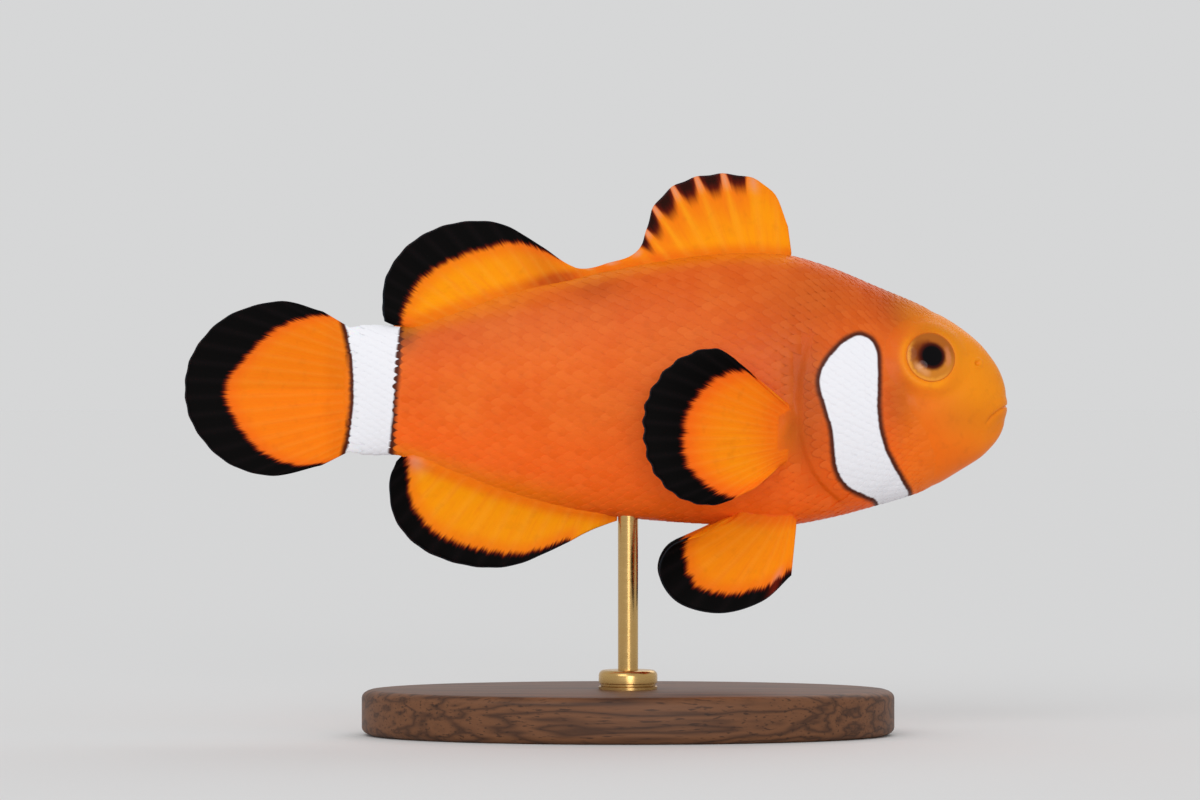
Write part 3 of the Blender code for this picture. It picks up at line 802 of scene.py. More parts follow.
def into_triangles(mesh):
    """Cuts the polygons that the union leaves along its seam into triangles. Two neighbours can get the same
    diagonal. The flat pocket between their cuts is taken out, so that the skin stays one closed surface."""
    cage = bmesh.new()
    cage.from_mesh(mesh)
    bmesh.ops.remove_doubles(cage, verts=cage.verts, dist=SAME_PLACE)
    bmesh.ops.triangulate(cage, faces=cage.faces)
    pockets = set()
    for edge in cage.edges:
        for face in edge.link_faces if len(edge.link_faces) > 2 else ():
            island, fresh = {face}, [face]
            while fresh and len(island) < POCKET_FACES:
                shared = [side.link_faces for side in fresh.pop().edges if len(side.link_faces) == 2]
                fresh += [other for pair in shared for other in pair if other not in island]
                island.update(fresh)
            if len(island) < POCKET_FACES:
                pockets |= island
    bmesh.ops.delete(cage, geom=list(pockets), context="FACES")
    cage.to_mesh(mesh)
    cage.free()


SEAM_RINGS = 5  # how many edges away from the seam the smoothing reaches
SEAM_FADE, SEAM_GAIN = 0.80, 1.4
SEAM_PASSES, SEAM_PULL = 6, 0.6


def united_skin():
    """The body and all the fins as one closed mesh. Where they meet, the crease is smoothed away."""
    body, fins = body_patch(), all_fins()
    for patch in (body, fins):
        for name in (*body.values, *fins.values):
            patch.values.setdefault(name, np.zeros(len(patch.points)))
        patch.values["known"] = np.ones(len(patch.points))
        patch.points = place(patch.points)
    shape, other = link("skin", to_mesh("skin", body)), link("fins", to_mesh("fins", fins))
    face_outwards(shape.data)
    face_outwards(other.data)
    union = shape.modifiers.new("union", "BOOLEAN")
    union.operation, union.object, union.solver = "UNION", other, "MANIFOLD"
    graph = bpy.context.evaluated_depsgraph_get()
    mesh = bpy.data.meshes.new_from_object(shape.evaluated_get(graph))
    shape.modifiers.clear()
    shape.data = mesh
    bpy.data.objects.remove(other)
    into_triangles(mesh)

    # The union's new points have no values of their own, and take them from their neighbours.
    values = np.stack([read(mesh.attributes[name].data, "value") for name in body.values], -1).astype(float)
    seam = read(mesh.attributes["known"].data, "value") < 0.999
    values[seam] = np.nan
    while np.isnan(values).any():
        mean, count = neighbours_mean(mesh, values)
        fill = np.isnan(values[:, 0]) & (count > 0)
        values[fill] = mean[fill]
    set_values(mesh, dict(zip(body.values, values.T, strict=True)))
    near = seam.astype(float)[:, None]
    for _ in range(SEAM_RINGS):
        near = np.maximum(near, SEAM_FADE * neighbours_mean(mesh, near)[0])
    near = np.clip(near * SEAM_GAIN, 0, 1)
    points = read(mesh.vertices, "co", 3).astype(float)
    for _ in range(SEAM_PASSES):
        points += (neighbours_mean(mesh, points)[0] - points) * near * SEAM_PULL
    mesh.vertices.foreach_set("co", points.ravel())
    mesh.shade_smooth()
    return shape


# ---- Scales

CHART_ROWS, CHART_COLUMNS = 420, 161
ROWS = np.arange(CHART_ROWS)
QUARTER_STEPS = 120


class Chart:
    """One side of the body, by distance behind the snout and by place round the section, from -1 at the
    belly to 1 at the back. Rows of scales run along it."""

    def __init__(self):
        self.behind = crowded(np.linspace(0.01, 1, CHART_ROWS))
        turn = np.linspace(-math.pi / 2, math.pi / 2, 2 * QUARTER_STEPS + 1)
        fine = place(around(self.behind[:, None], turn[None, :]))
        steps = np.linalg.norm(np.diff(fine, axis=1), axis=-1)
        arc = np.concatenate([np.zeros((CHART_ROWS, 1)), np.cumsum(steps, axis=1)], axis=1) / MM
        self.low = arc[:, QUARTER_STEPS]
        self.high = arc[:, -1] - self.low
        spread = np.linspace(-1, 1, CHART_COLUMNS)
        turns = np.empty((CHART_ROWS, CHART_COLUMNS))
        for i, (low, high) in enumerate(zip(self.low, self.high, strict=True)):
            turns[i] = np.interp(low + spread * np.where(spread < 0, low, high), arc[i], turn)
        self.plain = around(self.behind[:, None], turns)
        self.points = form(self.plain, grid_normals(self.plain, closed=False))
        self.normals = grid_normals(self.points, closed=False)
        self.values = markings(self.plain)

    def row(self, behind):
        return np.interp(behind, self.behind, ROWS)

    def reach(self, row):
        """How far it is from the midline to the ridges of the back and of the belly, in millimetres."""
        return [np.interp(row, ROWS, edge) for edge in (self.high, self.low)]

    def at(self, behind, arc):
        """Row, column and side of a place given by distance behind and by arc from the midline in
        millimetres. Past the ridge of the back or belly, the place is on the other side."""
        row = self.row(behind)
        high, low = self.reach(row)
        spread = np.where(arc > 0, arc / high, arc / low)
        side = np.where(np.abs(spread) > 1, -1.0, 1.0)
        spread = np.where(spread > 1, 2 - spread, np.where(spread < -1, -2 - spread, spread))
        return row, (spread + 1) / 2 * (CHART_COLUMNS - 1), side


# Scale sizes: behind, length of a scale's exposed part in hundredths, and height of a row in millimetres.
SCALE_SIZES = (
    (0.0, 0.62, 0.34),
    (9.0, 0.70, 0.44),
    (16.0, 0.86, 0.62),
    (24.0, 1.06, 0.84),
    (33.0, 1.24, 1.00),
    (50.0, 1.30, 1.06),
    (75.0, 1.22, 1.00),
    (92.0, 1.10, 0.88),
    (103.0, 0.90, 0.74),
)
SCALE_FIRST, SCALE_LAST = 7.0, 101.6
SCALE_LENGTH = 2.15  # in exposed lengths
SCALE_HALF_HEIGHT = 0.60  # in row heights
SCALE_TILT = 0.048  # mm of rise for each exposed length
SCALE_BULGE = 0.020  # mm
SCALE_THICKNESS = 0.035  # mm
SCALE_LIFTS = (-0.006, 0.008)  # mm
ALONG, ACROSS = 5, 6
PAST_RIDGE = 0.3  # of a row's height
# Fin bases, where the skin swells and has no scales: whether on the back, from and to where behind the
# snout, and how far from the ridge in millimetres.
FIN_BASES = (
    (True, 31.5, 93.5, 0.6),
    (False, 59.0, 93.5, 0.6),
    (False, 30.5, 41.5, 3.4),
    (True, 97.4, BODY_END, 1.7),
    (False, 97.4, BODY_END, 1.7),
)
# The same for the pectoral fin: from and to where behind the snout, middle height and half height.
PECTORAL_BASE = (32.2, 36.4, -7.4, 4.6)
BEFORE_TAIL_FIN = 1.4  # how far before the bar's rear edge the scales end
SHOWN_AT = 1.2  # exposed lengths from a scale's root to the place that gives its colour
SIZE_VARIETY, LEAN_VARIETY = 0.05, 0.05
OWN_SHARE = 0.6  # of a point's markings that is its own, the rest being its scale's: this saws the edges
BAR_SHARES = (84, 86, 95, 97), (0.95, 0.68, 0.68, 1.0)  # the same for the bars, by place behind the snout
BAKE_PATCH = 0.003
BAKE_MARGIN = 0.01


def scale_template():
    """Places of one scale's points: along it, across it, and its rise. Its faces are a curved top, thin
    sides and a flat underside."""
    p, q = np.meshgrid(np.linspace(0, 1, ALONG + 1), np.linspace(-1, 1, ACROSS + 1), indexing="ij")
    along = p * SCALE_LENGTH * (1 - 0.34 * q**2 - 0.05 * q**4)
    across = SCALE_HALF_HEIGHT * q * (0.80 + 0.20 * np.sin(math.pi * np.clip(p * 1.1, 0, 1)) + 0.06 * p)
    rise = SCALE_TILT * (along + 0.2) + SCALE_BULGE * (1 - q**2) * np.sin(math.pi * (0.15 + 0.75 * p))
    index = np.arange(p.size).reshape(p.shape)
    top, rim = grid_faces(index)[:, OTHER_WAY_ROUND], grid_rim(index.T)
    low = np.arange(len(rim)) + p.size
    sides = np.stack([rim, np.roll(rim, -1), np.roll(low, -1), low], -1)
    along, across, rise, p, q = [
        np.concatenate([grid.ravel(), grid.ravel()[rim]]) for grid in (along, across, rise, p, q)
    ]
    rise[low] -= SCALE_THICKNESS
    return along, across, rise, p, q, [top, sides, low[None, :]]


def lattice(chart):
    """Roots of the scales as (column, row) numbers, staggered from column to column, with the function
    that turns fractional columns and rows into places on the chart."""
    finely = np.linspace(SCALE_FIRST, SCALE_LAST, 2000)
    columns = np.concatenate([[0], np.cumsum(np.diff(finely) / smooth(SCALE_SIZES, 1, finely[:-1]))])

    def where(column, row):
        behind = np.interp(column, columns, finely)
        return behind, row * smooth(SCALE_SIZES, 2, behind)

    roots = []
    for column in range(int(columns[-1])):
        behind, height = where(column, 1.0)
        high, low = chart.reach(chart.row(behind))
        offset = 0.5 * (column % 2)
        for row in range(int(-low / height) - 1, int(high / height) + 2):
            if -low - PAST_RIDGE * height < (row + offset) * height < high + PAST_RIDGE * height:
                roots.append((column, row + offset))
    return np.array(roots, float), where


def room_for_scales(behind, height, to_ridge, is_back):
    """Which roots keep their scale: not on bare skin, in the gill slit, or where a fin's base swells."""
    gill = line_distance(GILL_LINE, behind, height) / MM_PERCENT
    opening = 2.2 * step(height, 10.5, 5.0) * step(height, -18.0, -15.0)
    keep = (past_bare(behind, height) > 0) & (behind < tail_bar_rear(height) - BEFORE_TAIL_FIN)
    keep &= ~((gill > -opening) & (gill < 0.1) & (opening > 0.25))
    for on_back, first, last, reach in FIN_BASES:
        keep &= ~((is_back == on_back) & (behind > first) & (behind < last) & (to_ridge < reach))
    first, last, middle, half = PECTORAL_BASE
    return keep & ~((behind > first) & (behind < last) & (np.abs(height - middle) < half))


def scales_patch(chart, side, first, last, seed):
    """The scales of one side between two distances behind the snout, in metres, with their bake map."""
    rng = np.random.default_rng(seed)
    roots, where = lattice(chart)
    behind, arc = where(*roots.T)
    row, column, _ = chart.at(behind, arc)
    height = sample(chart.plain[..., 1], row, column)
    high, low = chart.reach(row)
    to_ridge = np.where(arc > 0, high - arc, low + arc)
    keep = room_for_scales(behind, height, to_ridge, arc > 0) & (behind >= first) & (behind < last)
    roots, behind, height = roots[keep], behind[keep], height[keep]
    count = len(roots)

    along, across, rise, p, q, faces = scale_template()
    size = 1 + SIZE_VARIETY * rng.standard_normal((count, 1)).clip(-2, 2)
    lean = LEAN_VARIETY * rng.standard_normal((count, 1))
    lift = rng.uniform(*SCALE_LIFTS, (count, 1)) - COAT * (1 - under_scales(behind, height)[:, None])
    # Behind the gill's opening the first scales come out from under the skin.
    gill = line_distance(GILL_LINE, behind, height) / MM_PERCENT
    tucked = COAT * step(gill, 3.4, 2.4) * (gill > -0.2)
    lift = lift - tucked[:, None] * step(p, 0.45, 0.0)
    spread = roots[:, 1:] + across * size + lean * along * 0.3
    row, column, crossed = chart.at(*where(roots[:, :1] + along * size, spread))
    normal = unit(sample(chart.normals, row, column))
    points = sample(chart.points, row, column) + normal * ((rise + lift) * MM_PERCENT)[..., None]
    points[..., 2] *= crossed * side

    root_behind, root_arc = where(roots[:, 0] + SHOWN_AT, roots[:, 1])
    root_row, root_column, _ = chart.at(root_behind, root_arc)
    values = {}
    for name, grid in chart.values.items():
        share = np.interp(root_behind, *BAR_SHARES)[:, None] if name == "bar" else OWN_SHARE
        at_root = sample(grid, root_row, root_column)[:, None]
        values[name] = sample(grid, row, column) * share + at_root * (1 - share)
    values |= {"tint": rng.uniform(-1, 1, (count, 1)), "along": p, "across": q}
    values = {name: np.broadcast_to(value, row.shape).ravel() for name, value in values.items()}
    starts = np.arange(count)[:, None, None] * len(along)
    faces = [(group[None] + starts).reshape(-1, group.shape[1]) for group in faces]
    patch = Patch(place(points), faces, values)
    unwrap_u = np.sqrt(root_behind / BODY_END)[:, None] + BAKE_PATCH * (along / SCALE_LENGTH - 0.5)
    unwrap_v = (root_column / (CHART_COLUMNS - 1))[:, None] + BAKE_PATCH * (across / SCALE_HALF_HEIGHT / 2)
    patch.bake = BAKE_MARGIN + (1 - 2 * BAKE_MARGIN) * np.stack([unwrap_u, unwrap_v], -1).reshape(-1, 2)
    return patch


def scales(name, chart, side, first, last, seed, material):
    patch = scales_patch(chart, side, first, last, seed)
    mesh = to_mesh(name, patch)
    layer = mesh.uv_layers.new(name="OFBake")
    corners = read(mesh.loops, "vertex_index", kind=np.int32)
    layer.data.foreach_set("uv", patch.bake[corners].astype(np.float32).ravel())
    if side < 0:
        mesh.flip_normals()
    mesh.shade_smooth()
    mesh.set_sharp_from_angle(angle=math.radians(50))
    return link(name, mesh, material)


# ---- Eyes and other round pieces


def lathe(profile, turns):
    """A round mesh from (radius, height) pairs, starting and ending on the axis."""
    inner = np.array(profile[1:-1], float)
    angle = 2 * math.pi * np.arange(turns)[:, None] / turns
    radius, height = inner[:, 0], np.broadcast_to(inner[:, 1], (turns, len(inner)))
    rings = np.stack([radius * np.cos(angle), radius * np.sin(angle), height], -1)
    points = np.vstack([(0, 0, profile[0][1]), rings.reshape(-1, 3), (0, 0, profile[-1][1])])
    index = 1 + np.arange(height.size).reshape(height.shape)
    after = np.roll(index, -1, axis=0)
    start, end = np.zeros(turns, int), np.full(turns, len(points) - 1)
    ends = [np.stack([start, index[:, 0], after[:, 0]], -1), np.stack([end, after[:, -1], index[:, -1]], -1)]
    return Patch(points, [grid_faces(np.vstack([index, index[:1]])), *ends])


PUPIL_RADIUS = 1.80
EYE_DOME = 0.95  # how high the middle of the eye stands over its edge
EYE_BACK = ((4.03, -0.26), (4.05, -0.55), (3.95, -1.0), (3.4, -1.7), (2.2, -2.4), (1.0, -2.65), (0.0, -2.7))
EYE_TURNS = 96


def eye_profile():
    """A smooth dome from the middle to its edge, and the round back that sits in the socket."""
    ball = (EYE_RADIUS**2 + EYE_DOME**2) / (2 * EYE_DOME)
    dome = [(r, math.sqrt(ball**2 - r**2) - ball + EYE_DOME) for r in np.linspace(0, EYE_RADIUS, 36)]
    line = numbered([dome[-2], dome[-1], *EYE_BACK])
    at = np.linspace(1, len(line) - 1, 3 * (len(line) - 2) + 1)[1:]
    back = list(zip(smooth(line, 1, at), smooth(line, 2, at), strict=True))
    return [*dome, *back[:-1], (0.0, back[-1][1])]


def eye(name, side, material):
    """One eye. Its point values are the distance from its axis, and the direction there: how far up and how
    far back."""
    patch = lathe(eye_profile(), EYE_TURNS)
    x, y = patch.points[:, 0], patch.points[:, 1]
    radius = np.hypot(x, y)
    off_axis = np.maximum(radius, 1e-6)
    patch.values = {"radius": radius, "up": y / off_axis, "back": x / off_axis}
    up = unit(np.array([0, 1.0, 0]) - EYE_OUTWARDS * EYE_OUTWARDS[1])
    axes = np.stack([np.cross(up, EYE_OUTWARDS), up, EYE_OUTWARDS])
    patch.points = place((patch.points @ axes + EYE_SEAT) * (1, 1, side))
    return smooth_piece(name, patch, material)


# ---- Materials


def rgb(*screen):
    """A colour given as it shows on a screen, in the shader's own scale."""
    shares = [level / 255 for level in screen]
    return (*(share / 12.92 if share < 0.0405 else ((share + 0.055) / 1.055) ** 2.4 for share in shares), 1.0)


# the lower body's orange is lighter than the rest: partly its own colour, partly painted fill light
ORANGE, ORANGE_LOW_AND_FILL_LIGHT, ORANGE_LIGHT = rgb(238, 97, 14), rgb(255, 104, 20), rgb(242, 108, 24)
DUSK, AMBER = rgb(148, 60, 18), rgb(253, 154, 8)
BROWN, WHITE = rgb(84, 34, 16), rgb(241, 241, 246)
RAY_LIGHT, STREAK, HAIR, RAY_PALE = rgb(255, 186, 80), rgb(240, 112, 26), rgb(210, 84, 20), rgb(226, 168, 132)
RED, DARK_RED, BLACK, SMOKE = rgb(240, 84, 22), rgb(104, 24, 8), rgb(3, 2, 2), rgb(40, 46, 52)
RAY_BLACK, SPINE_BLACK = rgb(24, 17, 19), rgb(52, 20, 12)
SCALE_LIGHT, SCALE_DARK = rgb(255, 190, 110), rgb(120, 30, 8)
IRIS_LOW, IRIS_TOP, IRIS_BACK = rgb(210, 128, 40), rgb(174, 95, 28), rgb(140, 70, 20)
IRIS_RING, GLINT_BEHIND, GLINT_AHEAD = rgb(240, 158, 58), rgb(236, 168, 112), rgb(222, 136, 90)
EYE_RIM, IRIS_INNER, PUPIL_EDGE, PUPIL = rgb(206, 104, 22), rgb(118, 48, 12), rgb(66, 14, 4), rgb(2, 1, 3)
WALNUT_DARK, WALNUT_LIGHT, WALNUT_PORES = rgb(70, 43, 27), rgb(112, 72, 45), rgb(40, 23, 14)
BRASS_DARK, BRASS_LIGHT = rgb(190, 152, 92), rgb(206, 170, 110)
FLOOR = rgb(225, 225, 225)


class Output:
    """A node's output. Arithmetic on it adds the math nodes that work it out over the surface."""

    def __init__(self, graph, socket):
        self.graph, self.socket = graph, socket

    def math(self, operation, other=0.0):
        return self.graph.node("Math", {0: self, 1: other}, operation=operation)

    __add__ = partialmethod(math, "ADD")
    __sub__ = partialmethod(math, "SUBTRACT")
    __mul__ = partialmethod(math, "MULTIPLY")

    def ramp(self, low, high, to_low=0.0, to_high=1.0):
        """One value below low and another above high, with a smooth rise; low may be the larger."""
        inputs = {"Value": self, "From Min": low, "From Max": high, "To Min": to_low, "To Max": to_high}
        return self.graph.node("MapRange", inputs, interpolation_type="SMOOTHSTEP")


class Graph:
    """A material's nodes. Each call adds one and returns its output."""

    def __init__(self, name, **settings):
        self.material = bpy.data.materials.new(name)
        self.material.use_nodes = True
        self.tree = self.material.node_tree
        self.shader = self.tree.nodes["Principled BSDF"]
        for socket, value in settings.items():
            self.shader.inputs[socket.replace("_", " ")].default_value = value

    def node(self, kind, inputs=None, output=0, **settings):
        made = self.tree.nodes.new(f"ShaderNode{kind}")
        for name, value in settings.items():
            setattr(made, name, value)
        for key, value in (inputs or {}).items():
            if isinstance(value, Output):
                self.tree.links.new(value.socket, made.inputs[key])
            else:
                made.inputs[key].default_value = value
        return Output(self, made.outputs[output])

    def values(self, *names):
        return [self.node("Attribute", output="Fac", attribute_name=name) for name in names]

    def mix(self, factor, a, b):
        return self.node("Mix", {0: factor, 6: a, 7: b}, 2, data_type="RGBA")

    def layers(self, colour, *layers):
        """A colour with others laid over it in turn, each given with how much of it covers."""
        for over, cover in layers:
            colour = self.mix(cover, colour, over)
        return colour

    def where(self, *stretch):
        """The place on the object, stretched along each axis where that is given."""
        here = self.node("TexCoord", output="Object")
        return self.node("Mapping", {"Vector": here, "Scale": stretch}) if stretch else here

    def noise(self, scale, detail=2.0, vector=None, distortion=0.0):
        vector = vector or self.where()
        inputs = {"Vector": vector, "Scale": scale, "Detail": detail, "Distortion": distortion}
        return self.node("TexNoise", inputs, "Fac")

    def bump(self, height, distance, strength):
        self.set("Normal", self.node("Bump", {"Height": height, "Distance": distance, "Strength": strength}))

    def set(self, socket, value):
        self.tree.links.new(value.socket, self.shader.inputs[socket])


def fish_orange(graph):
    """The orange shared by the skin and the scales, under the white bars."""
    low, dusk, amber = graph.values("low", "dusk", "amber")
    return graph.layers(
        ORANGE,
        (ORANGE_LIGHT, graph.noise(140, 3.0).ramp(0.35, 0.70)),
        # lighter orange on the lower body and lower fins, partly painted fill light
        (ORANGE_LOW_AND_FILL_LIGHT, low),
        (DUSK, dusk),
        (AMBER, amber),
        (DUSK, graph.noise(900).ramp(0.5, 0.85, 0.0, 0.13)),
    )


def with_bars(graph, colour):
    """The white bars over a colour, with a brown line round them."""
    wavy = graph.values("bar")[0] + graph.noise(420) * 0.30 - 0.15
    return graph.layers(colour, (BROWN, wavy.ramp(0.85, 0.30)), (WHITE, wavy.ramp(0.18, -0.04)))


# Settings of the shader.
WET = {"Roughness": 0.4, "Coat_Weight": 0.04, "Coat_Roughness": 0.2, "Specular_IOR_Level": 0.12}
FLESHY = {"Subsurface_Weight": 0.1, "Subsurface_Scale": 0.0005, "Subsurface_Radius": (1.0, 0.35, 0.15)}


def skin_material():
    graph = Graph("clownfish_skin", **WET, **FLESHY)
    graph.set("Base Color", with_bars(graph, fish_orange(graph)))
    graph.bump(graph.noise(3200, 3.0) - graph.noise(1500, 1.0).ramp(0.62, 0.78) * 0.8, 0.00005, 0.5)
    return graph.material


def fin_material():
    graph = Graph("clownfish_fins", Roughness=0.5, Specular_IOR_Level=0.035, **FLESHY)
    ray, out, pale, spiny, black, edge = graph.values("ray", "out", "pale", "spiny", "black", "edge")

    def streak(across, along):
        return graph.noise(1.0, 2.0, graph.node("CombineXYZ", {0: ray * across, 1: out * along}))

    crest = (ray * math.pi).math("COSINE").math("ABSOLUTE").math("POWER", 6.0)
    streaks, hairs = streak(3.2, 2.0), streak(11.0, 3.0)
    colour = graph.layers(
        fish_orange(graph),
        (RAY_LIGHT, crest * 0.07),
        (STREAK, streaks.ramp(0.45, 0.75, 0.0, 0.24)),
        (HAIR, hairs.ramp(0.5, 0.8, 0.0, 0.12)),
        (RAY_PALE, pale * 0.85),
    )
    # The black margin's inner edge is ragged, less so on spines, and runs through reds into the orange.
    soft = spiny * -0.6 + 1.0
    hairy = (streaks - 0.5) * 0.9 + (hairs - 0.5) * 1.25
    ragged = (hairy * soft + black) * soft
    ink = graph.layers(BLACK, (RAY_BLACK, crest * 0.25), (SPINE_BLACK, spiny * 0.55))
    colour = graph.layers(
        with_bars(graph, colour),
        (RED, ragged.ramp(2.6, 0.5, 0.0, 0.42)),
        (DARK_RED, ragged.ramp(0.85, 0.10)),
        (ink, ragged.ramp(0.42, -0.16) * (pale * -0.9 + 1.0)),
        (SMOKE, edge.ramp(0.26, 0.04) * black.ramp(0.3, -0.6) * 0.6),
    )
    graph.set("Base Color", colour)
    ray_joints = (out * 260.0).math("SINE") * crest * 0.06
    graph.bump(streaks * 0.5 + ray_joints, 0.00006, 0.5)
    return graph.material


def scale_material():
    graph = Graph("clownfish_scales", **WET)
    along, across, tint = graph.values("along", "across", "tint")
    colour = fish_orange(graph)
    lighter, darker = graph.mix(0.16, colour, SCALE_LIGHT), graph.mix(0.24, colour, SCALE_DARK)
    edge = (across * across * 0.05 + along).ramp(0.90, 1.0)
    toned = graph.mix(tint * 0.5 + 0.5, darker, lighter)
    colour = graph.layers(colour, (toned, 0.26), (lighter, edge * 0.20))
    graph.set("Base Color", with_bars(graph, colour))
    graph.bump((across * 22.0).math("SINE") * along, 0.00001, 0.35)
    return graph.material


def eye_material():
    graph = Graph("clownfish_eye", Roughness=0.06, Specular_IOR_Level=0.10)
    radius, up, back = graph.values("radius", "up", "back")
    fleck = graph.noise(2600, 3.0)
    uneven = (fleck - 0.5) * 0.55 + radius
    low_and_back = up * -0.75 + back * 0.65
    ring = uneven.ramp(3.0, 3.7) * uneven.ramp(4.3, 3.9)
    glint = uneven.ramp(1.9, 2.5) * uneven.ramp(3.4, 2.8) * 0.6
    iris = graph.layers(
        IRIS_LOW,
        (IRIS_TOP, up.ramp(-0.6, 0.45)),
        (IRIS_BACK, back.ramp(0.35, 1.0, 0.0, 0.6)),
        (IRIS_RING, low_and_back.ramp(-0.35, 0.6) * ring),
        (GLINT_BEHIND, low_and_back.ramp(0.75, 1.0) * glint),
        (GLINT_AHEAD, back.ramp(-0.75, -1.0) * glint),
        (EYE_RIM, radius.ramp(3.55, 3.85)),
    )
    shaded = uneven - (up * 0.5 + back * 0.9).ramp(0.2, 1.0) * 0.75
    colour = graph.mix(shaded.ramp(PUPIL_RADIUS - 0.60, PUPIL_RADIUS + 0.85), IRIS_INNER, iris)
    colour = graph.mix(radius.ramp(PUPIL_RADIUS - 0.05, PUPIL_RADIUS + 0.62), PUPIL_EDGE, colour)
    graph.set("Base Color", graph.mix(radius.ramp(PUPIL_RADIUS - 0.42, PUPIL_RADIUS + 0.06), PUPIL, colour))
    graph.bump(fleck, 0.000008, 0.2)
    return graph.material


def walnut_material():
    graph = Graph("walnut", Roughness=0.55, Specular_IOR_Level=0.25, Coat_Weight=0.10, Coat_Roughness=0.35)
    rings = (graph.noise(1.5, 3.0, graph.where(7, 130, 190), 0.15) * 26.0).math("SINE").math("ABSOLUTE")
    pores = graph.noise(1.0, 2.0, graph.where(320, 4200, 4200))
    colour = graph.layers(WALNUT_DARK, (WALNUT_LIGHT, rings), (WALNUT_PORES, pores.ramp(0.56, 0.7, 0.0, 0.7)))
    graph.set("Base Color", colour)
    graph.bump(pores, 0.00003, 0.5)
    return graph.material


def brass_material():
    graph = Graph("brass", Metallic=1.0, Roughness=0.24)
    brushed = graph.noise(1.0, 3.0, graph.where(500, 500, 2600))
    graph.set("Base Color", graph.mix(brushed, BRASS_DARK, BRASS_LIGHT))
    graph.set("Roughness", brushed.ramp(0.2, 0.8, 0.22, 0.30))
    return graph.material


# ---- Stand

BASE_BEVEL = 0.0009
COLLAR_BEND = 0.0006
COLLAR_SINK = 0.0003  # how deep the collar's foot stands in the base
COLLAR_RING = 0.0013  # radius of a ring of points on its top, close to the rod
COLLAR_COVE = ((0.0, 0.0007), (0.0002, 0.0006), (0.0002, 0.0004), (0.0, 0.0003))  # depth, height above foot
QUARTER_TURN = [(math.sin(turn), math.cos(turn)) for turn in np.linspace(0, math.pi / 2, 6)]


def stand_piece(name, profile, turns, material, sharp, stretch=(1, 1, 1)):
    """A piece turned round the rod's axis."""
    low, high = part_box("stand_base")
    patch = lathe(profile, turns)
    patch.points = patch.points * stretch + ((low[0] + high[0]) / 2, 0, 0)
    return smooth_piece(name, patch, material, sharp)


def stand_pieces(wood, brass):
    """Smoother pieces in the same places as the solid stand, with the same outlines."""
    low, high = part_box("stand_base")
    half_length, half_width, top = (high[0] - low[0]) / 2, (high[1] - low[1]) / 2, high[2]
    edge = [(1 - BASE_BEVEL * (1 - s) / half_width, BASE_BEVEL * (1 - c)) for s, c in QUARTER_TURN]
    profile = [(0, 0.0), *edge, *[(r, top - h) for r, h in reversed(edge)], (0, top)]
    base = stand_piece("stand_base_wood", profile, 128, wood, 60, (half_length, half_width, 1))
    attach(base, "root")
    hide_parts("stand_base")

    low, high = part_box("stand_collar")
    radius, foot, top = (high[0] - low[0]) / 2, low[2] - COLLAR_SINK, high[2]
    arc = [(radius - COLLAR_BEND * (1 - s), top - COLLAR_BEND * (1 - c)) for s, c in QUARTER_TURN]
    cove = [(radius - depth, foot + height) for depth, height in COLLAR_COVE]
    profile = [(0, top), (COLLAR_RING, top), *arc, *cove, (radius, foot), (0, foot)]
    ring = stand_piece("stand_collar_ring", profile, 64, brass, 35)
    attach(ring, "root")
    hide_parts("stand_collar")

    low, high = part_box("stand_rod")
    radius = (high[0] - low[0]) / 2
    profile = [(0, low[2]), (radius, low[2]), (radius, high[2]), (0, high[2])]
    rod = stand_piece("stand_rod_bar", profile, 48, brass, 35)
    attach(rod, "root")
    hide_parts("stand_rod")


# ---- Studio

# Parallel lights: name, direction they come from, strength as a share of pi, and softness in degrees.
SUNS = (
    ("key", (-0.32, -0.78, 0.50), 0.20, 35),
    ("front_fill", (0.15, -1.0, 0.10), 0.21, 22),
    ("back_light", (0.3, 0.7, 0.65), 0.14, 40),
)
SURROUND, SURROUND_COLOUR = 0.68, (0.99, 0.995, 1.0, 1)
FLOOR_RADIUS, FLOOR_DEPTH = 20.0, 0.01


def studio():
    """A very wide pale floor that ends as bright as the even light around it, so that no edge shows."""
    profile = [(0, 0.0), (1.0, 0.0), (FLOOR_RADIUS, 0.0), (FLOOR_RADIUS, -FLOOR_DEPTH), (0, -FLOOR_DEPTH)]
    mesh = to_mesh("floor", lathe(profile, 96))
    face_outwards(mesh)
    mesh.shade_flat()
    pale = Graph("pale_floor", Roughness=0.9, Specular_IOR_Level=0.0, Base_Color=FLOOR)
    link("floor", mesh, pale.material)

    world = bpy.data.worlds.new("studio")
    bpy.context.scene.world = world
    world.use_nodes = True
    background = world.node_tree.nodes["Background"]
    background.inputs["Color"].default_value = SURROUND_COLOUR
    background.inputs["Strength"].default_value = SURROUND

    for name, towards, strength, softness in SUNS:
        light = bpy.data.lights.new(name, "SUN")
        light.energy, light.angle = strength * math.pi, math.radians(softness)
        link(name, light).rotation_euler = Vector(towards).to_track_quat("Z", "Y").to_euler()


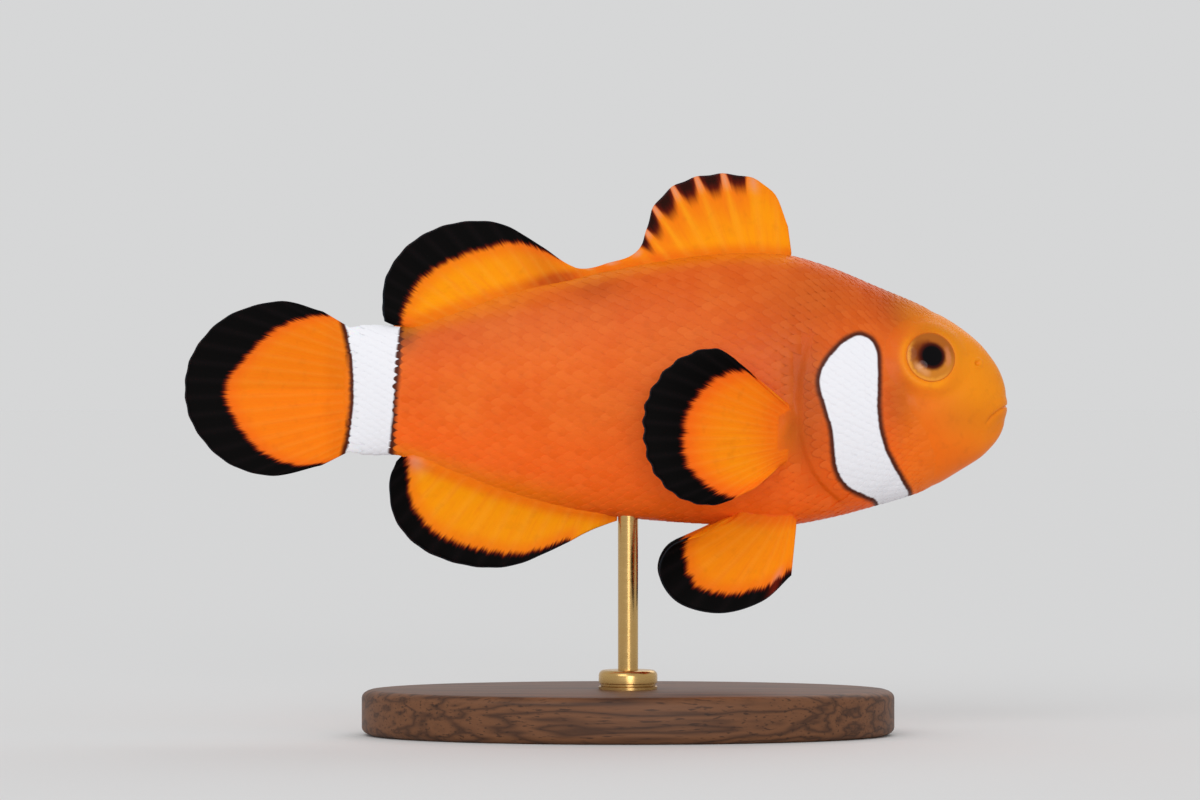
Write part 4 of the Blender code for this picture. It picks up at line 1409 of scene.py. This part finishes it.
CAMERA_DISTANCE = 0.6
FRAME_WIDTH = 0.1307  # how much the picture shows at the fish, in metres
CAMERA_SIDE, CAMERA_HEIGHT = 0.00046, 0.03648
SENSOR_WIDTH = 36.0  # mm


def camera():
    data = bpy.data.cameras.new("camera")
    data.sensor_width = SENSOR_WIDTH
    data.lens = SENSOR_WIDTH * CAMERA_DISTANCE / FRAME_WIDTH
    data.clip_start, data.clip_end = 0.01, 50
    made = link("camera", data)
    made.location = (CAMERA_SIDE, -CAMERA_DISTANCE, CAMERA_HEIGHT)
    made.rotation_euler = (math.pi / 2, 0, 0)
    bpy.context.scene.camera = made


# ---- Assembly

FLESH = (
    "head", "lower_jaw", "gill_cover_left", "gill_cover_right", "trunk", "tail_stalk", "dorsal_fin_front",
    "dorsal_fin_rear", "anal_fin", "tail_fin", "pectoral_fin_left", "pectoral_fin_right", "pelvic_fin_left",
    "pelvic_fin_right",
)
# Scales: part, from and to where behind the snout, and seed.
SCALE_PARTS = (("front", 0, 45.0, 11), ("rear", 45.0, 110.0, 12))
SIDES = ((1, "left"), (-1, "right"))


def fish():
    skin = united_skin()
    mesh = skin.data
    mesh.materials.clear()  # the union leaves empty slots
    mesh.materials.append(skin_material())
    mesh.materials.append(fin_material())
    corners = read(mesh.loops, "vertex_index", kind=np.int32).reshape(-1, 3)
    fin = read(mesh.attributes["fin"].data, "value")[corners].mean(axis=1) > 0.5
    mesh.polygons.foreach_set("material_index", fin.astype(np.int32))
    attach(skin, "root")
    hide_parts(*FLESH)

    chart = Chart()
    cover = scale_material()
    for side, word in SIDES:
        for part, first, last, seed in SCALE_PARTS:
            piece = scales(f"scales_{part}_{word}", chart, side, first, last, seed + side, cover)
            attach(piece, "root")

    shade = eye_material()
    for side, word in SIDES:
        ball = eye(f"eye_ball_{word}", side, shade)
        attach(ball, "root")
        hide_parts(f"eye_{word}")


bpy.context.scene.view_settings.view_transform = "Standard"
fish()
stand_pieces(walnut_material(), brass_material())
studio()
camera()
